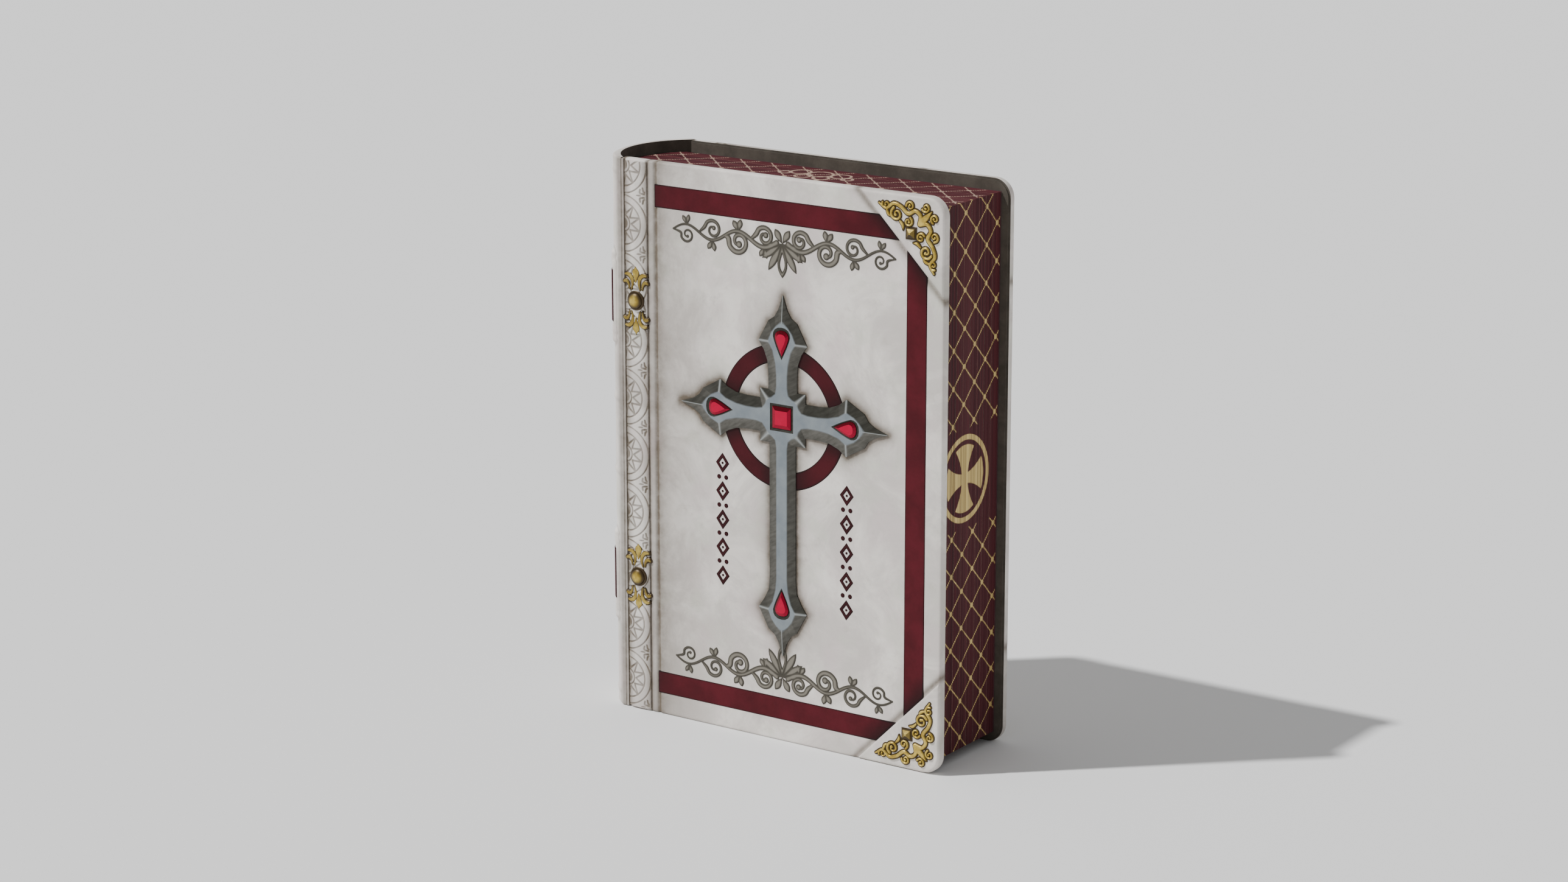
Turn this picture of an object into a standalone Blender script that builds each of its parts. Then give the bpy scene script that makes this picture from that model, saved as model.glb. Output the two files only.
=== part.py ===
"""A prayer book standing on its tail edge: case, metal fittings and turning pages."""
import math

import bmesh
import bpy
from mathutils import Matrix, Vector

# All driving dimensions are millimetres in the book's own datum: x = 0 on the
# decorative groove of the front cover, y = 0 on its outer face, z = 0 on the floor.
MM = 0.001
DATUM_X = -55.55
DATUM_Y = -26.45

HEIGHT = 240.0
DEPTH = 52.9
FORE_EDGE_X = 143.2
GAP = 0.3

# Boards and their linings.
BOARD_THICK = 3.4
BOARD_SPINE_X = -16.2
BOARD_CORNER = 8.0
BOARD_BEVEL = 0.6
LINING_THICK = 0.4
LINING_INSET = 0.8
INLAY_THICK = 0.4
GROOVE_RADIUS = 0.8
GROOVE_XS = (-3.6, 0.4)

# Joint lines of the two covers.
HINGE_X = -16.4

# Rounded spine.
SPINE_CENTRE_X = 3.1
SPINE_OUTER = 34.0
SPINE_INNER = 31.6
SPINE_LIP_X = -16.6
SPINE_STEPS = 32
HUB_PROUD = 1.2
HUB_TALL = 5.0
HUB_ANGLE = 44.0
CARTOUCHE_ZS = (179.6, 57.6)
HUB_OFFSET = 20.5
LABEL_HALF = 11.0
LABEL_THICK = 0.8
LABEL_ANGLE = 41.0

# Sewn text block.
BLOCK_BOTTOM = 5.0
BLOCK_TOP = 235.0
BLOCK_FORE_X = 139.3
CORE_RIGHT_X = -14.6
SPINE_LINING_THICK = 0.5
SECTION_COUNT = 8
FLYLEAF_THICK = 0.4
GUTTER_ROUND_STEPS = 8

# Red frame inlaid in each cover.
BAND_SPINE_X = 0.9
BAND_INNER_X = 125.5
BAND_OUTER_X = 135.2
BAND_MARGIN = 9.4
BAND_WIDE = 9.7
CORNER_LEG = 40.2

# Metal corner guards.
PLATE_THICK = 0.7
FILIGREE_THICK = 0.8
STUD_SIZE = 4.6
STUD_TALL = 1.9
STUD_REACH = 15.5

# Cross.
CROSS_X = 65.45
CROSS_Z = 140.2
CROSS_WALL = 0.9
CROSS_TALL = 2.3
RING_INNER = 23.5
RING_OUTER = 30.3
RING_STEPS = 48
GEM_SINK = 0.6
GEM_PROUD = 0.6
GEM_REACH = 31.4
GEM_LOW_REACH = 79.8

# Spine-side ornaments.
BOSS_X = -8.8
BOSS_ZS = (180.1, 59.6)
BOSS_RADIUS = 4.2
BOSS_TALL = 2.6
SPRAY_THICK = 0.6
SPRAY_START = 5.0

PARTS = "prayer_book"
CUTTERS = "prayer_book_cutters"

# One side of a short arm, from the square corner block to the tip: across, along.
ARM_BASE = [(11.2, 11.2), (9.2, 11.2), (7.2, 11.2), (7.1, 13.0), (7.1, 17.8), (7.6, 23.2),
            (9.3, 27.6), (12.0, 31.4), (7.1, 40.6), (4.1, 42.8), (2.2, 46.4), (0.0, 53.0)]
ARM_TOP = [(7.1, 7.1), (4.8, 8.1), (3.0, 9.7), (2.4, 12.8), (2.4, 17.8), (2.9, 22.8),
           (4.3, 28.1), (6.6, 31.7), (5.0, 35.4), (3.0, 37.9), (1.3, 39.2), (0.0, 39.8)]
SHAFT_START = 15.0
LONG_EXTRA = 50.2


def clear_scene():
    """Remove everything the new file starts with."""
    for obj in list(bpy.data.objects):
        bpy.data.objects.remove(obj, do_unlink=True)


def new_collection(name):
    """Make a collection linked to the scene."""
    group = bpy.data.collections.new(name)
    bpy.context.scene.collection.children.link(group)
    return group


def make_material(name, colour, roughness, metallic):
    """Principled material from a colour, a roughness and a metallic value."""
    material = bpy.data.materials.new(name)
    material.use_nodes = True
    shader = material.node_tree.nodes["Principled BSDF"]
    shader.inputs["Base Color"].default_value = (*colour, 1.0)
    shader.inputs["Roughness"].default_value = roughness
    shader.inputs["Metallic"].default_value = metallic
    return material


def make_materials():
    """The book's materials by slot name."""
    return {
        "parchment": make_material("parchment", (0.57, 0.54, 0.50), 0.62, 0.0),
        "red_leather": make_material("red_leather", (0.11, 0.018, 0.028), 0.55, 0.0),
        "dark_lining": make_material("dark_lining", (0.050, 0.040, 0.032), 0.8, 0.0),
        "gilt_pages": make_material("gilt_pages", (0.10, 0.022, 0.032), 0.7, 0.0),
        "flyleaf_paper": make_material("flyleaf_paper", (0.62, 0.56, 0.45), 0.85, 0.0),
        "spine_cloth": make_material("spine_cloth", (0.45, 0.40, 0.30), 0.9, 0.0),
        "steel": make_material("steel", (0.30, 0.34, 0.37), 0.35, 0.9),
        "gold": make_material("gold", (0.60, 0.42, 0.12), 0.3, 1.0),
        "ruby": make_material("ruby", (0.50, 0.01, 0.05), 0.12, 0.0),
    }


def finish_part(obj, material, group, parent=None):
    """Give a mesh object its material, its collection and its moving parent."""
    obj.data.materials.clear()
    obj.data.materials.append(material)
    group.objects.link(obj)
    if parent is not None:
        obj.parent = parent
        obj.matrix_parent_inverse = Matrix.Translation(-parent.location)
    return obj


def world(point):
    """Millimetre datum point to metres in the world."""
    x, y, z = point
    return Vector(((x + DATUM_X) * MM, (y + DATUM_Y) * MM, z * MM))


def weld(mesh):
    """Weld coincident vertices and face every polygon outwards."""
    work = bmesh.new()
    work.from_mesh(mesh)
    bmesh.ops.remove_doubles(work, verts=work.verts, dist=1e-7)
    bmesh.ops.recalc_face_normals(work, faces=work.faces)
    work.to_mesh(mesh)
    work.free()


def prism(name, outlines, low, high, upright):
    """Closed prism from one outline and any holes.

    Outlines are (x, z) pairs extruded along y, or (x, y) pairs extruded along z
    when upright is true.
    """
    curve = bpy.data.curves.new(name + "_outline", "CURVE")
    curve.dimensions = "2D"
    curve.fill_mode = "BOTH"
    curve.extrude = (high - low) * MM / 2
    for outline in outlines:
        spline = curve.splines.new("POLY")
        spline.points.add(len(outline) - 1)
        for point, (a, b) in zip(spline.points, outline):
            point.co = (a * MM, b * MM, 0.0, 1.0)
        spline.use_cyclic_u = True
    holder = bpy.data.objects.new(name + "_outline", curve)
    middle = (low + high) / 2 * MM
    if upright:
        shift = Vector((DATUM_X * MM, DATUM_Y * MM, middle))
        holder.matrix_world = Matrix.Translation(shift)
    else:
        shift = Vector((DATUM_X * MM, DATUM_Y * MM + middle, 0.0))
        turn = Matrix.Rotation(math.radians(90.0), 4, "X")
        holder.matrix_world = Matrix.Translation(shift) @ turn
    bpy.context.scene.collection.objects.link(holder)
    bpy.context.view_layer.update()
    graph = bpy.context.evaluated_depsgraph_get()
    mesh = bpy.data.meshes.new_from_object(holder.evaluated_get(graph))
    mesh.transform(holder.matrix_world)
    mesh.name = name
    bpy.data.objects.remove(holder, do_unlink=True)
    bpy.data.curves.remove(curve)
    weld(mesh)
    return bpy.data.objects.new(name, mesh)


def loft(name, rings):
    """Closed body through matched outlines given as lists of datum points."""
    mesh = bpy.data.meshes.new(name)
    work = bmesh.new()
    rows = [[work.verts.new(world(point)) for point in ring] for ring in rings]
    count = len(rings[0])
    for lower, upper in zip(rows, rows[1:]):
        for index in range(count):
            after = (index + 1) % count
            work.faces.new((lower[index], lower[after], upper[after], upper[index]))
    work.faces.new(rows[0])
    work.faces.new(list(reversed(rows[-1])))
    bmesh.ops.recalc_face_normals(work, faces=work.faces)
    work.to_mesh(mesh)
    work.free()
    return bpy.data.objects.new(name, mesh)


def add_bevel(obj, width, segments=2, angle=50.0):
    """Round the sharp edges of a part."""
    bevel = obj.modifiers.new("rounded_edges", "BEVEL")
    bevel.width = width * MM
    bevel.segments = segments
    bevel.limit_method = "ANGLE"
    bevel.angle_limit = math.radians(angle)
    bevel.use_clamp_overlap = True


def add_boolean(obj, other, operation, group):
    """Join or cut with another body kept in the cutter collection."""
    if other.name not in group.objects:
        group.objects.link(other)
    other.hide_render = True
    other.display_type = "WIRE"
    boolean = obj.modifiers.new(operation.lower(), "BOOLEAN")
    boolean.operation = operation
    boolean.solver = "EXACT"
    boolean.object = other


def shade_round(obj, angle=35.0):
    """Smooth shading that keeps the real edges crisp."""
    for polygon in obj.data.polygons:
        polygon.use_smooth = True
    obj.data.set_sharp_from_angle(angle=math.radians(angle))


def arc(centre, radius, start, end, steps):
    """Points on an arc, angles in degrees."""
    points = []
    for index in range(steps + 1):
        angle = math.radians(start + (end - start) * index / steps)
        across = centre[0] + radius * math.cos(angle)
        along = centre[1] + radius * math.sin(angle)
        points.append((across, along))
    return points


def circle(centre, radius, steps):
    """Closed circle outline."""
    return arc(centre, radius, 0.0, 360.0, steps)[:-1]


def board_outline(inset):
    """Cover outline, square at the joint and rounded at the fore-edge."""
    radius = BOARD_CORNER - inset
    right = FORE_EDGE_X - BOARD_CORNER
    outline = [(BOARD_SPINE_X + inset, inset)]
    outline += arc((right, BOARD_CORNER), radius, -90.0, 0.0, 8)
    outline += arc((right, HEIGHT - BOARD_CORNER), radius, 0.0, 90.0, 8)
    outline.append((BOARD_SPINE_X + inset, HEIGHT - inset))
    return outline


def side(front, depth_in):
    """Depth coordinate measured inwards from a cover's outer face."""
    return depth_in if front else DEPTH - depth_in


def cover_prism(name, front, outlines, start, end):
    """Prism lying on a cover, its thickness measured inwards from the outer face."""
    limits = sorted((side(front, start), side(front, end)))
    return prism(name, outlines, limits[0], limits[1], upright=False)


def corner_point(top, away, down):
    """Point measured from a fore-edge corner along its two edges."""
    z = HEIGHT - down if top else down
    return (FORE_EDGE_X - away, z)


def grow(outline, amount):
    """Outline pushed outwards by an amount along its corner normals."""
    count = len(outline)
    area = 0.0
    for index, (x, z) in enumerate(outline):
        after = outline[(index + 1) % count]
        area += x * after[1] - after[0] * z
    turn = 1.0 if area > 0 else -1.0
    grown = []
    for index in range(count):
        here = Vector(outline[index])
        before = (here - Vector(outline[index - 1])).normalized()
        after = (Vector(outline[(index + 1) % count]) - here).normalized()
        normal_a = Vector((before.y, -before.x)) * turn
        normal_b = Vector((after.y, -after.x)) * turn
        both = normal_a + normal_b
        grown.append(tuple(here + both * (amount / max(both.dot(normal_a), 0.2))))
    return grown


def band_outlines():
    """Three inlaid red bands, cut off under the corner guards."""
    low_in = BAND_MARGIN + BAND_WIDE
    high = HEIGHT - BAND_MARGIN
    high_in = HEIGHT - low_in
    diagonal = FORE_EDGE_X + HEIGHT - CORNER_LEG
    low_diagonal = FORE_EDGE_X - CORNER_LEG
    return {
        "top": [(BAND_SPINE_X, high_in), (diagonal - high_in, high_in),
                (diagonal - high, high), (BAND_SPINE_X, high)],
        "fore": [(BAND_INNER_X, BAND_INNER_X - low_diagonal),
                 (BAND_OUTER_X, BAND_OUTER_X - low_diagonal),
                 (BAND_OUTER_X, diagonal - BAND_OUTER_X),
                 (BAND_INNER_X, diagonal - BAND_INNER_X)],
        "bottom": [(BAND_SPINE_X, BAND_MARGIN), (low_diagonal + BAND_MARGIN, BAND_MARGIN),
                   (low_diagonal + low_in, low_in), (BAND_SPINE_X, low_in)],
    }


def make_board(label, front, looks, groups, hinge, ring_inlay):
    """One cover board with grooves and recesses for its inlays."""
    board = cover_prism(label + "_board", front, [board_outline(0.0)], 0.0, BOARD_THICK)
    add_bevel(board, BOARD_BEVEL)
    proud = -1.0
    recess = INLAY_THICK + GAP
    for where, outline in band_outlines().items():
        cutter = cover_prism(label + "_recess_" + where, front, [grow(outline, GAP)],
                             proud, recess)
        add_boolean(board, cutter, "DIFFERENCE", groups["cutters"])
    for index, x in enumerate(GROOVE_XS):
        centre = (x, side(front, 0.0))
        cutter = prism(label + "_groove_%d" % index, [circle(centre, GROOVE_RADIUS, 12)],
                       -1.0, HEIGHT + 1.0, upright=True)
        add_boolean(board, cutter, "DIFFERENCE", groups["cutters"])
    if ring_inlay:
        centre = (CROSS_X, CROSS_Z)
        rings = [circle(centre, RING_OUTER + GAP, RING_STEPS),
                 circle(centre, RING_INNER - GAP, RING_STEPS)]
        cutter = cover_prism(label + "_recess_ring", front, rings, proud, recess)
        add_boolean(board, cutter, "DIFFERENCE", groups["cutters"])
    finish_part(board, looks["parchment"], groups["parts"], hinge)


def make_cover_lining(label, front, looks, groups, hinge):
    """Dark lining pasted on the inner face of a board."""
    start = BOARD_THICK + GAP
    lining = cover_prism(label + "_pastedown", front, [board_outline(LINING_INSET)],
                         start, start + LINING_THICK)
    finish_part(lining, looks["dark_lining"], groups["parts"], hinge)


def make_bands(label, front, looks, groups, hinge):
    """Red leather bands lying in their recesses, level with the cover."""
    for where, outline in band_outlines().items():
        band = cover_prism(label + "_band_" + where, front, [outline], 0.0, INLAY_THICK)
        finish_part(band, looks["red_leather"], groups["parts"], hinge)


def plate_outline(top):
    """Three-cornered guard following the cover's rounded corner."""
    inset = 0.5
    leg = CORNER_LEG
    points = [(leg, inset), (inset, leg)]
    centre = BOARD_CORNER
    radius = BOARD_CORNER - inset
    points += [(centre - radius * math.cos(math.radians(a)),
                centre - radius * math.sin(math.radians(a))) for a in range(0, 91, 15)]
    return [corner_point(top, away, down) for away, down in points]


def filigree_outlines(top):
    """Scrolled openwork plate: an outline and its piercings, mirrored on the diagonal."""
    half = [(12.4, 12.4), (14.8, 12.8), (16.6, 11.6), (17.6, 9.6), (19.0, 8.8),
            (20.0, 11.6), (21.6, 12.6), (23.6, 11.2), (24.4, 8.8), (27.0, 9.0),
            (28.8, 7.4), (30.6, 7.6), (31.2, 5.0), (29.4, 2.9), (27.0, 2.5),
            (24.6, 2.9), (22.8, 3.6), (20.2, 3.0), (17.0, 2.2), (15.4, 3.9),
            (14.0, 3.0), (11.4, 3.4), (10.2, 5.4), (9.4, 3.0), (7.8, 4.6), (6.9, 6.9)]
    outline = list(half)
    outline += [(d, a) for a, d in reversed(half[1:-1])]
    near = [(12.4, 8.0), (13.6, 6.0), (15.3, 6.4), (15.8, 8.6), (14.6, 10.4), (12.9, 10.0)]
    middle = [(19.4, 5.6), (21.4, 5.2), (22.2, 6.8), (21.0, 7.8), (19.6, 7.4)]
    far = [(24.4, 4.6), (26.4, 4.6), (26.6, 6.6), (24.8, 6.6)]
    holes = []
    for opening in (near, middle, far):
        holes.append(opening)
        holes.append([(d, a) for a, d in opening])
    return [[corner_point(top, a, d) for a, d in shape] for shape in [outline] + holes]


def square_ring(centre, half, y):
    """Four datum points of an upright square set on its point."""
    x, z = centre
    return [(x - half, y, z - half), (x + half, y, z - half),
            (x + half, y, z + half), (x - half, y, z + half)]


def make_corner(label, front, top, looks, groups, hinge):
    """One corner guard: plate, pierced filigree and pyramid stud."""
    where = "top" if top else "bottom"
    start = -GAP
    plate = cover_prism(label + "_corner_plate_" + where, front, [plate_outline(top)],
                        start, start - PLATE_THICK)
    add_bevel(plate, 0.25, 1)
    finish_part(plate, looks["parchment"], groups["parts"], hinge)
    start -= PLATE_THICK + GAP
    filigree = cover_prism(label + "_corner_filigree_" + where, front,
                           filigree_outlines(top), start, start - FILIGREE_THICK)
    add_bevel(filigree, 0.2, 1, 30.0)
    finish_part(filigree, looks["gold"], groups["parts"], hinge)
    centre = corner_point(top, STUD_REACH, STUD_REACH)
    half = STUD_SIZE / 2
    rings = [square_ring(centre, half, side(front, start)),
             square_ring(centre, half, side(front, start - 0.5)),
             square_ring(centre, half * 0.2, side(front, start - STUD_TALL))]
    stud = loft(label + "_corner_stud_" + where, rings)
    finish_part(stud, looks["gold"], groups["parts"], hinge)


def arm_points(profile, direction, extra):
    """Both sides of one cross arm, turned to its direction, tip in the middle."""
    along_axis = Vector(direction)
    across_axis = Vector((-direction[1], direction[0]))
    stretched = []
    for across, along in profile:
        reach = along + extra if along > SHAFT_START else along
        stretched.append((across, reach))
    right = [along_axis * b - across_axis * a for a, b in stretched]
    left = [along_axis * b + across_axis * a for a, b in reversed(stretched[:-1])]
    return right + left[:-1]


def cross_outline(profile):
    """Whole cross outline from one arm profile, the lower arm drawn out."""
    points = []
    arms = [((0.0, 1.0), 0.0), ((-1.0, 0.0), 0.0), ((0.0, -1.0), LONG_EXTRA), ((1.0, 0.0), 0.0)]
    for direction, extra in arms:
        points += arm_points(profile, direction, extra)
    return [(CROSS_X + p.x, CROSS_Z + p.y) for p in points]


def raised_rings(outlines_and_depths, front):
    """Outlines placed at depths outside a cover face, ready for a loft."""
    rings = []
    for outline, depth in outlines_and_depths:
        y = side(front, -depth)
        rings.append([(x, y, z) for x, z in outline])
    return rings


def drop_outline(centre, direction):
    """Teardrop pointing towards the middle of the cross."""
    shape = [(0.0, -6.0), (1.3, -3.4), (2.7, -0.8), (3.7, 1.4), (3.9, 3.1), (3.0, 4.8),
             (1.6, 5.6), (0.0, 5.9)]
    shape += [(-a, b) for a, b in reversed(shape[1:-1])]
    along = Vector(direction)
    across = Vector((direction[1], -direction[0]))
    points = [along * b + across * a for a, b in shape]
    return [(centre[0] + p.x, centre[1] + p.y) for p in points]


def gem_outlines():
    """Outline of every stone by name."""
    half = 5.7
    square = [(CROSS_X - half, CROSS_Z - half), (CROSS_X + half, CROSS_Z - half),
              (CROSS_X + half, CROSS_Z + half), (CROSS_X - half, CROSS_Z + half)]
    spots = {
        "gem_centre": square,
        "gem_top": drop_outline((CROSS_X, CROSS_Z + GEM_REACH), (0.0, 1.0)),
        "gem_left": drop_outline((CROSS_X - GEM_REACH, CROSS_Z), (-1.0, 0.0)),
        "gem_right": drop_outline((CROSS_X + GEM_REACH, CROSS_Z), (1.0, 0.0)),
        "gem_bottom": drop_outline((CROSS_X, CROSS_Z - GEM_LOW_REACH), (0.0, -1.0)),
    }
    return spots


def shrink_towards_middle(outline, factor):
    """Outline scaled about its own middle."""
    middle = sum((Vector(p) for p in outline), Vector((0.0, 0.0))) / len(outline)
    return [tuple(middle + (Vector(p) - middle) * factor) for p in outline]


def make_cross(looks, groups, hinge):
    """Bevelled cross, pocketed for its five stones, and the stones themselves."""
    base = cross_outline(ARM_BASE)
    crown = cross_outline(ARM_TOP)
    rings = raised_rings([(base, GAP), (base, GAP + CROSS_WALL), (crown, GAP + CROSS_TALL)], True)
    cross = loft("front_cross", rings)
    seat = CROSS_TALL + GAP - GEM_SINK
    for name, outline in gem_outlines().items():
        cutter = cover_prism(name + "_pocket", True, [grow(outline, GAP)],
                             -(seat - GAP), -(seat + 3.0))
        add_boolean(cross, cutter, "DIFFERENCE", groups["cutters"])
        small = shrink_towards_middle(outline, 0.62)
        mid = shrink_towards_middle(outline, 0.92)
        top = CROSS_TALL + GAP + GEM_PROUD
        gem = loft("front_" + name, raised_rings(
            [(outline, seat), (outline, seat + GEM_SINK), (mid, top - 0.25), (small, top)], True))
        finish_part(gem, looks["ruby"], groups["parts"], hinge)
    finish_part(cross, looks["steel"], groups["parts"], hinge)
    centre = (CROSS_X, CROSS_Z)
    ring = cover_prism("front_ring", True, [circle(centre, RING_OUTER, RING_STEPS),
                       circle(centre, RING_INNER, RING_STEPS)], 0.0, INLAY_THICK)
    finish_part(ring, looks["red_leather"], groups["parts"], hinge)


def make_boss(name, z, looks, groups, hinge):
    """Domed gold boss with a turned rim, revolved about its own axis."""
    profile = [(BOSS_RADIUS, 0.0), (BOSS_RADIUS, 0.5), (BOSS_RADIUS - 0.5, 0.8)]
    dome = BOSS_RADIUS - 0.5
    rise = BOSS_TALL - 0.8
    for index in range(1, 6):
        angle = math.radians(90.0 * index / 6)
        profile.append((dome * math.cos(angle), 0.8 + rise * math.sin(angle)))
    steps = 24
    rings = []
    for radius, height in profile:
        y = side(True, -(GAP + height))
        rings.append([(x, y, zz) for x, zz in circle((BOSS_X, z), radius, steps)])
    boss = loft(name, rings)
    shade_round(boss)
    finish_part(boss, looks["gold"], groups["parts"], hinge)


def spray_outline(z, up):
    """Five-leaved spray growing away from a boss."""
    half = [(0.9, 0.0), (2.0, 1.0), (3.2, 0.7), (4.3, 1.4), (6.2, 1.2), (6.7, 2.6),
            (5.6, 4.0), (4.8, 3.9), (5.6, 5.4), (4.3, 6.6), (2.6, 5.8), (1.6, 5.2),
            (1.8, 7.2), (0.0, 9.7)]
    shape = [(a, b) for a, b in half] + [(-a, b) for a, b in reversed(half[:-1])]
    turn = 1.0 if up else -1.0
    return [(BOSS_X + a, z + turn * (SPRAY_START + b)) for a, b in shape]


def make_spine_ornaments(looks, groups, hinge):
    """Two bosses beside the front joint, each between an upper and a lower spray."""
    for where, z in zip(("upper", "lower"), BOSS_ZS):
        make_boss("front_boss_" + where, z, looks, groups, hinge)
        for leaf, up in (("above", True), ("below", False)):
            spray = cover_prism("front_spray_%s_%s" % (where, leaf), True,
                                [spray_outline(z, up)], -GAP, -(GAP + SPRAY_THICK))
            add_bevel(spray, 0.2, 1, 30.0)
            finish_part(spray, looks["gold"], groups["parts"], hinge)


def spine_arc(radius, half_angle, steps):
    """Points on the rounded spine in plan, front to back."""
    centre = (SPINE_CENTRE_X, DEPTH / 2)
    return arc(centre, radius, 180.0 + half_angle, 180.0 - half_angle, steps)


def angle_at_x(radius, x):
    """Half angle at which a spine arc meets a depthwise line."""
    return math.degrees(math.acos((SPINE_CENTRE_X - x) / radius))


def angle_at_depth(radius, depth_in):
    """Half angle at which a spine arc meets a cover-side plane."""
    return math.degrees(math.asin((DEPTH / 2 - depth_in) / radius))


def crescent(inner, outer, half_angle, steps):
    """Plan outline of a curved strip on the spine."""
    return spine_arc(outer, half_angle, steps) + spine_arc(inner, half_angle, steps)[::-1]


def make_spine(looks, groups):
    """Rounded spine with raised hubs, its red labels and its inner cloth lining."""
    outer = spine_arc(SPINE_OUTER, angle_at_depth(SPINE_OUTER, 0.0), SPINE_STEPS)
    inner = spine_arc(SPINE_INNER, angle_at_x(SPINE_INNER, SPINE_LIP_X), SPINE_STEPS)
    plan = [(SPINE_LIP_X, 0.0)] + outer + [(SPINE_LIP_X, DEPTH)] + inner[::-1]
    shell = prism("spine_shell", [plan], 0.0, HEIGHT, upright=True)
    for where, z in zip(("upper", "lower"), CARTOUCHE_ZS):
        for index, offset in enumerate((-HUB_OFFSET, HUB_OFFSET)):
            middle = z + offset
            plan = crescent(SPINE_OUTER - 1.0, SPINE_OUTER + HUB_PROUD, HUB_ANGLE, 20)
            hub = prism("spine_hub_%s_%d" % (where, index), [plan],
                        middle - HUB_TALL / 2, middle + HUB_TALL / 2, upright=True)
            add_bevel(hub, 1.0, 2)
            add_boolean(shell, hub, "UNION", groups["cutters"])
        plan = crescent(SPINE_OUTER + GAP, SPINE_OUTER + GAP + LABEL_THICK, LABEL_ANGLE, 20)
        label = prism("spine_label_" + where, [plan], z - LABEL_HALF, z + LABEL_HALF,
                      upright=True)
        finish_part(label, looks["red_leather"], groups["parts"])
    finish_part(shell, looks["parchment"], groups["parts"])
    radius = SPINE_INNER - GAP
    plan = crescent(radius - SPINE_LINING_THICK, radius, 42.0, 24)
    lining = prism("spine_lining", [plan], BLOCK_BOTTOM, BLOCK_TOP, upright=True)
    finish_part(lining, looks["spine_cloth"], groups["parts"])


def block_front():
    """Depth at which the text block starts behind the front lining."""
    return BOARD_THICK + GAP + LINING_THICK + GAP


def make_core(looks, groups):
    """Sewn and rounded back of the text block."""
    radius = SPINE_INNER - 2 * GAP - SPINE_LINING_THICK
    front = block_front()
    curve = spine_arc(radius, angle_at_depth(radius, front), 24)
    plan = [(CORE_RIGHT_X, front)] + curve + [(CORE_RIGHT_X, DEPTH - front)]
    core = prism("text_block_core", [plan], BLOCK_BOTTOM, BLOCK_TOP, upright=True)
    finish_part(core, looks["gilt_pages"], groups["parts"])


def leaf_plan(axis_x, middle, thick, steps):
    """Plan of a leaf or section: round at the gutter, square at the fore-edge."""
    half = thick / 2
    plan = arc((axis_x, middle), half, 90.0, 270.0, steps)
    plan += [(BLOCK_FORE_X, middle - half), (BLOCK_FORE_X, middle + half)]
    return plan


def add_hinge(name, x, y, group):
    """Empty on the vertical axis a moving piece turns about."""
    empty = bpy.data.objects.new(name, None)
    empty.location = world((x, y, HEIGHT / 2))
    empty.empty_display_size = 0.01
    group.objects.link(empty)
    return empty


def make_pages(looks, groups):
    """Two flyleaves and the sections between them, each on its own gutter axis."""
    start = block_front()
    inner_start = start + FLYLEAF_THICK + GAP
    pitch = (DEPTH - 2 * inner_start + GAP) / SECTION_COUNT
    thick = pitch - GAP
    axis_x = CORE_RIGHT_X + GAP + thick / 2
    leaves = [("front_flyleaf", start + FLYLEAF_THICK / 2, FLYLEAF_THICK, "flyleaf_paper")]
    for index in range(SECTION_COUNT):
        middle = inner_start + pitch * index + thick / 2
        leaves.append(("section_%d" % (index + 1), middle, thick, "gilt_pages"))
    leaves.append(("back_flyleaf", DEPTH - start - FLYLEAF_THICK / 2, FLYLEAF_THICK,
                   "flyleaf_paper"))
    for name, middle, leaf_thick, slot in leaves:
        hinge = add_hinge(name + "_hinge", axis_x, middle, groups["parts"])
        steps = GUTTER_ROUND_STEPS if leaf_thick > 1.0 else 4
        leaf = prism(name, [leaf_plan(axis_x, middle, leaf_thick, steps)],
                     BLOCK_BOTTOM, BLOCK_TOP, upright=True)
        finish_part(leaf, looks[slot], groups["parts"], hinge)


def make_cover(label, front, looks, groups):
    """Everything that swings with one cover."""
    hinge = add_hinge(label + "_cover_hinge", HINGE_X, side(front, 0.0), groups["parts"])
    make_board(label, front, looks, groups, hinge, ring_inlay=front)
    make_cover_lining(label, front, looks, groups, hinge)
    make_bands(label, front, looks, groups, hinge)
    for top in (True, False):
        make_corner(label, front, top, looks, groups, hinge)
    return hinge


def build():
    """Make the whole book."""
    clear_scene()
    groups = {"parts": new_collection(PARTS), "cutters": new_collection(CUTTERS)}
    looks = make_materials()
    make_spine(looks, groups)
    make_core(looks, groups)
    make_pages(looks, groups)
    front_hinge = make_cover("front", True, looks, groups)
    make_cross(looks, groups, front_hinge)
    make_spine_ornaments(looks, groups, front_hinge)
    make_cover("back", False, looks, groups)


build()
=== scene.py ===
"""Looks of the prayer book: leather, inlays, metalwork, gilt edges, light and camera."""

import math

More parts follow.
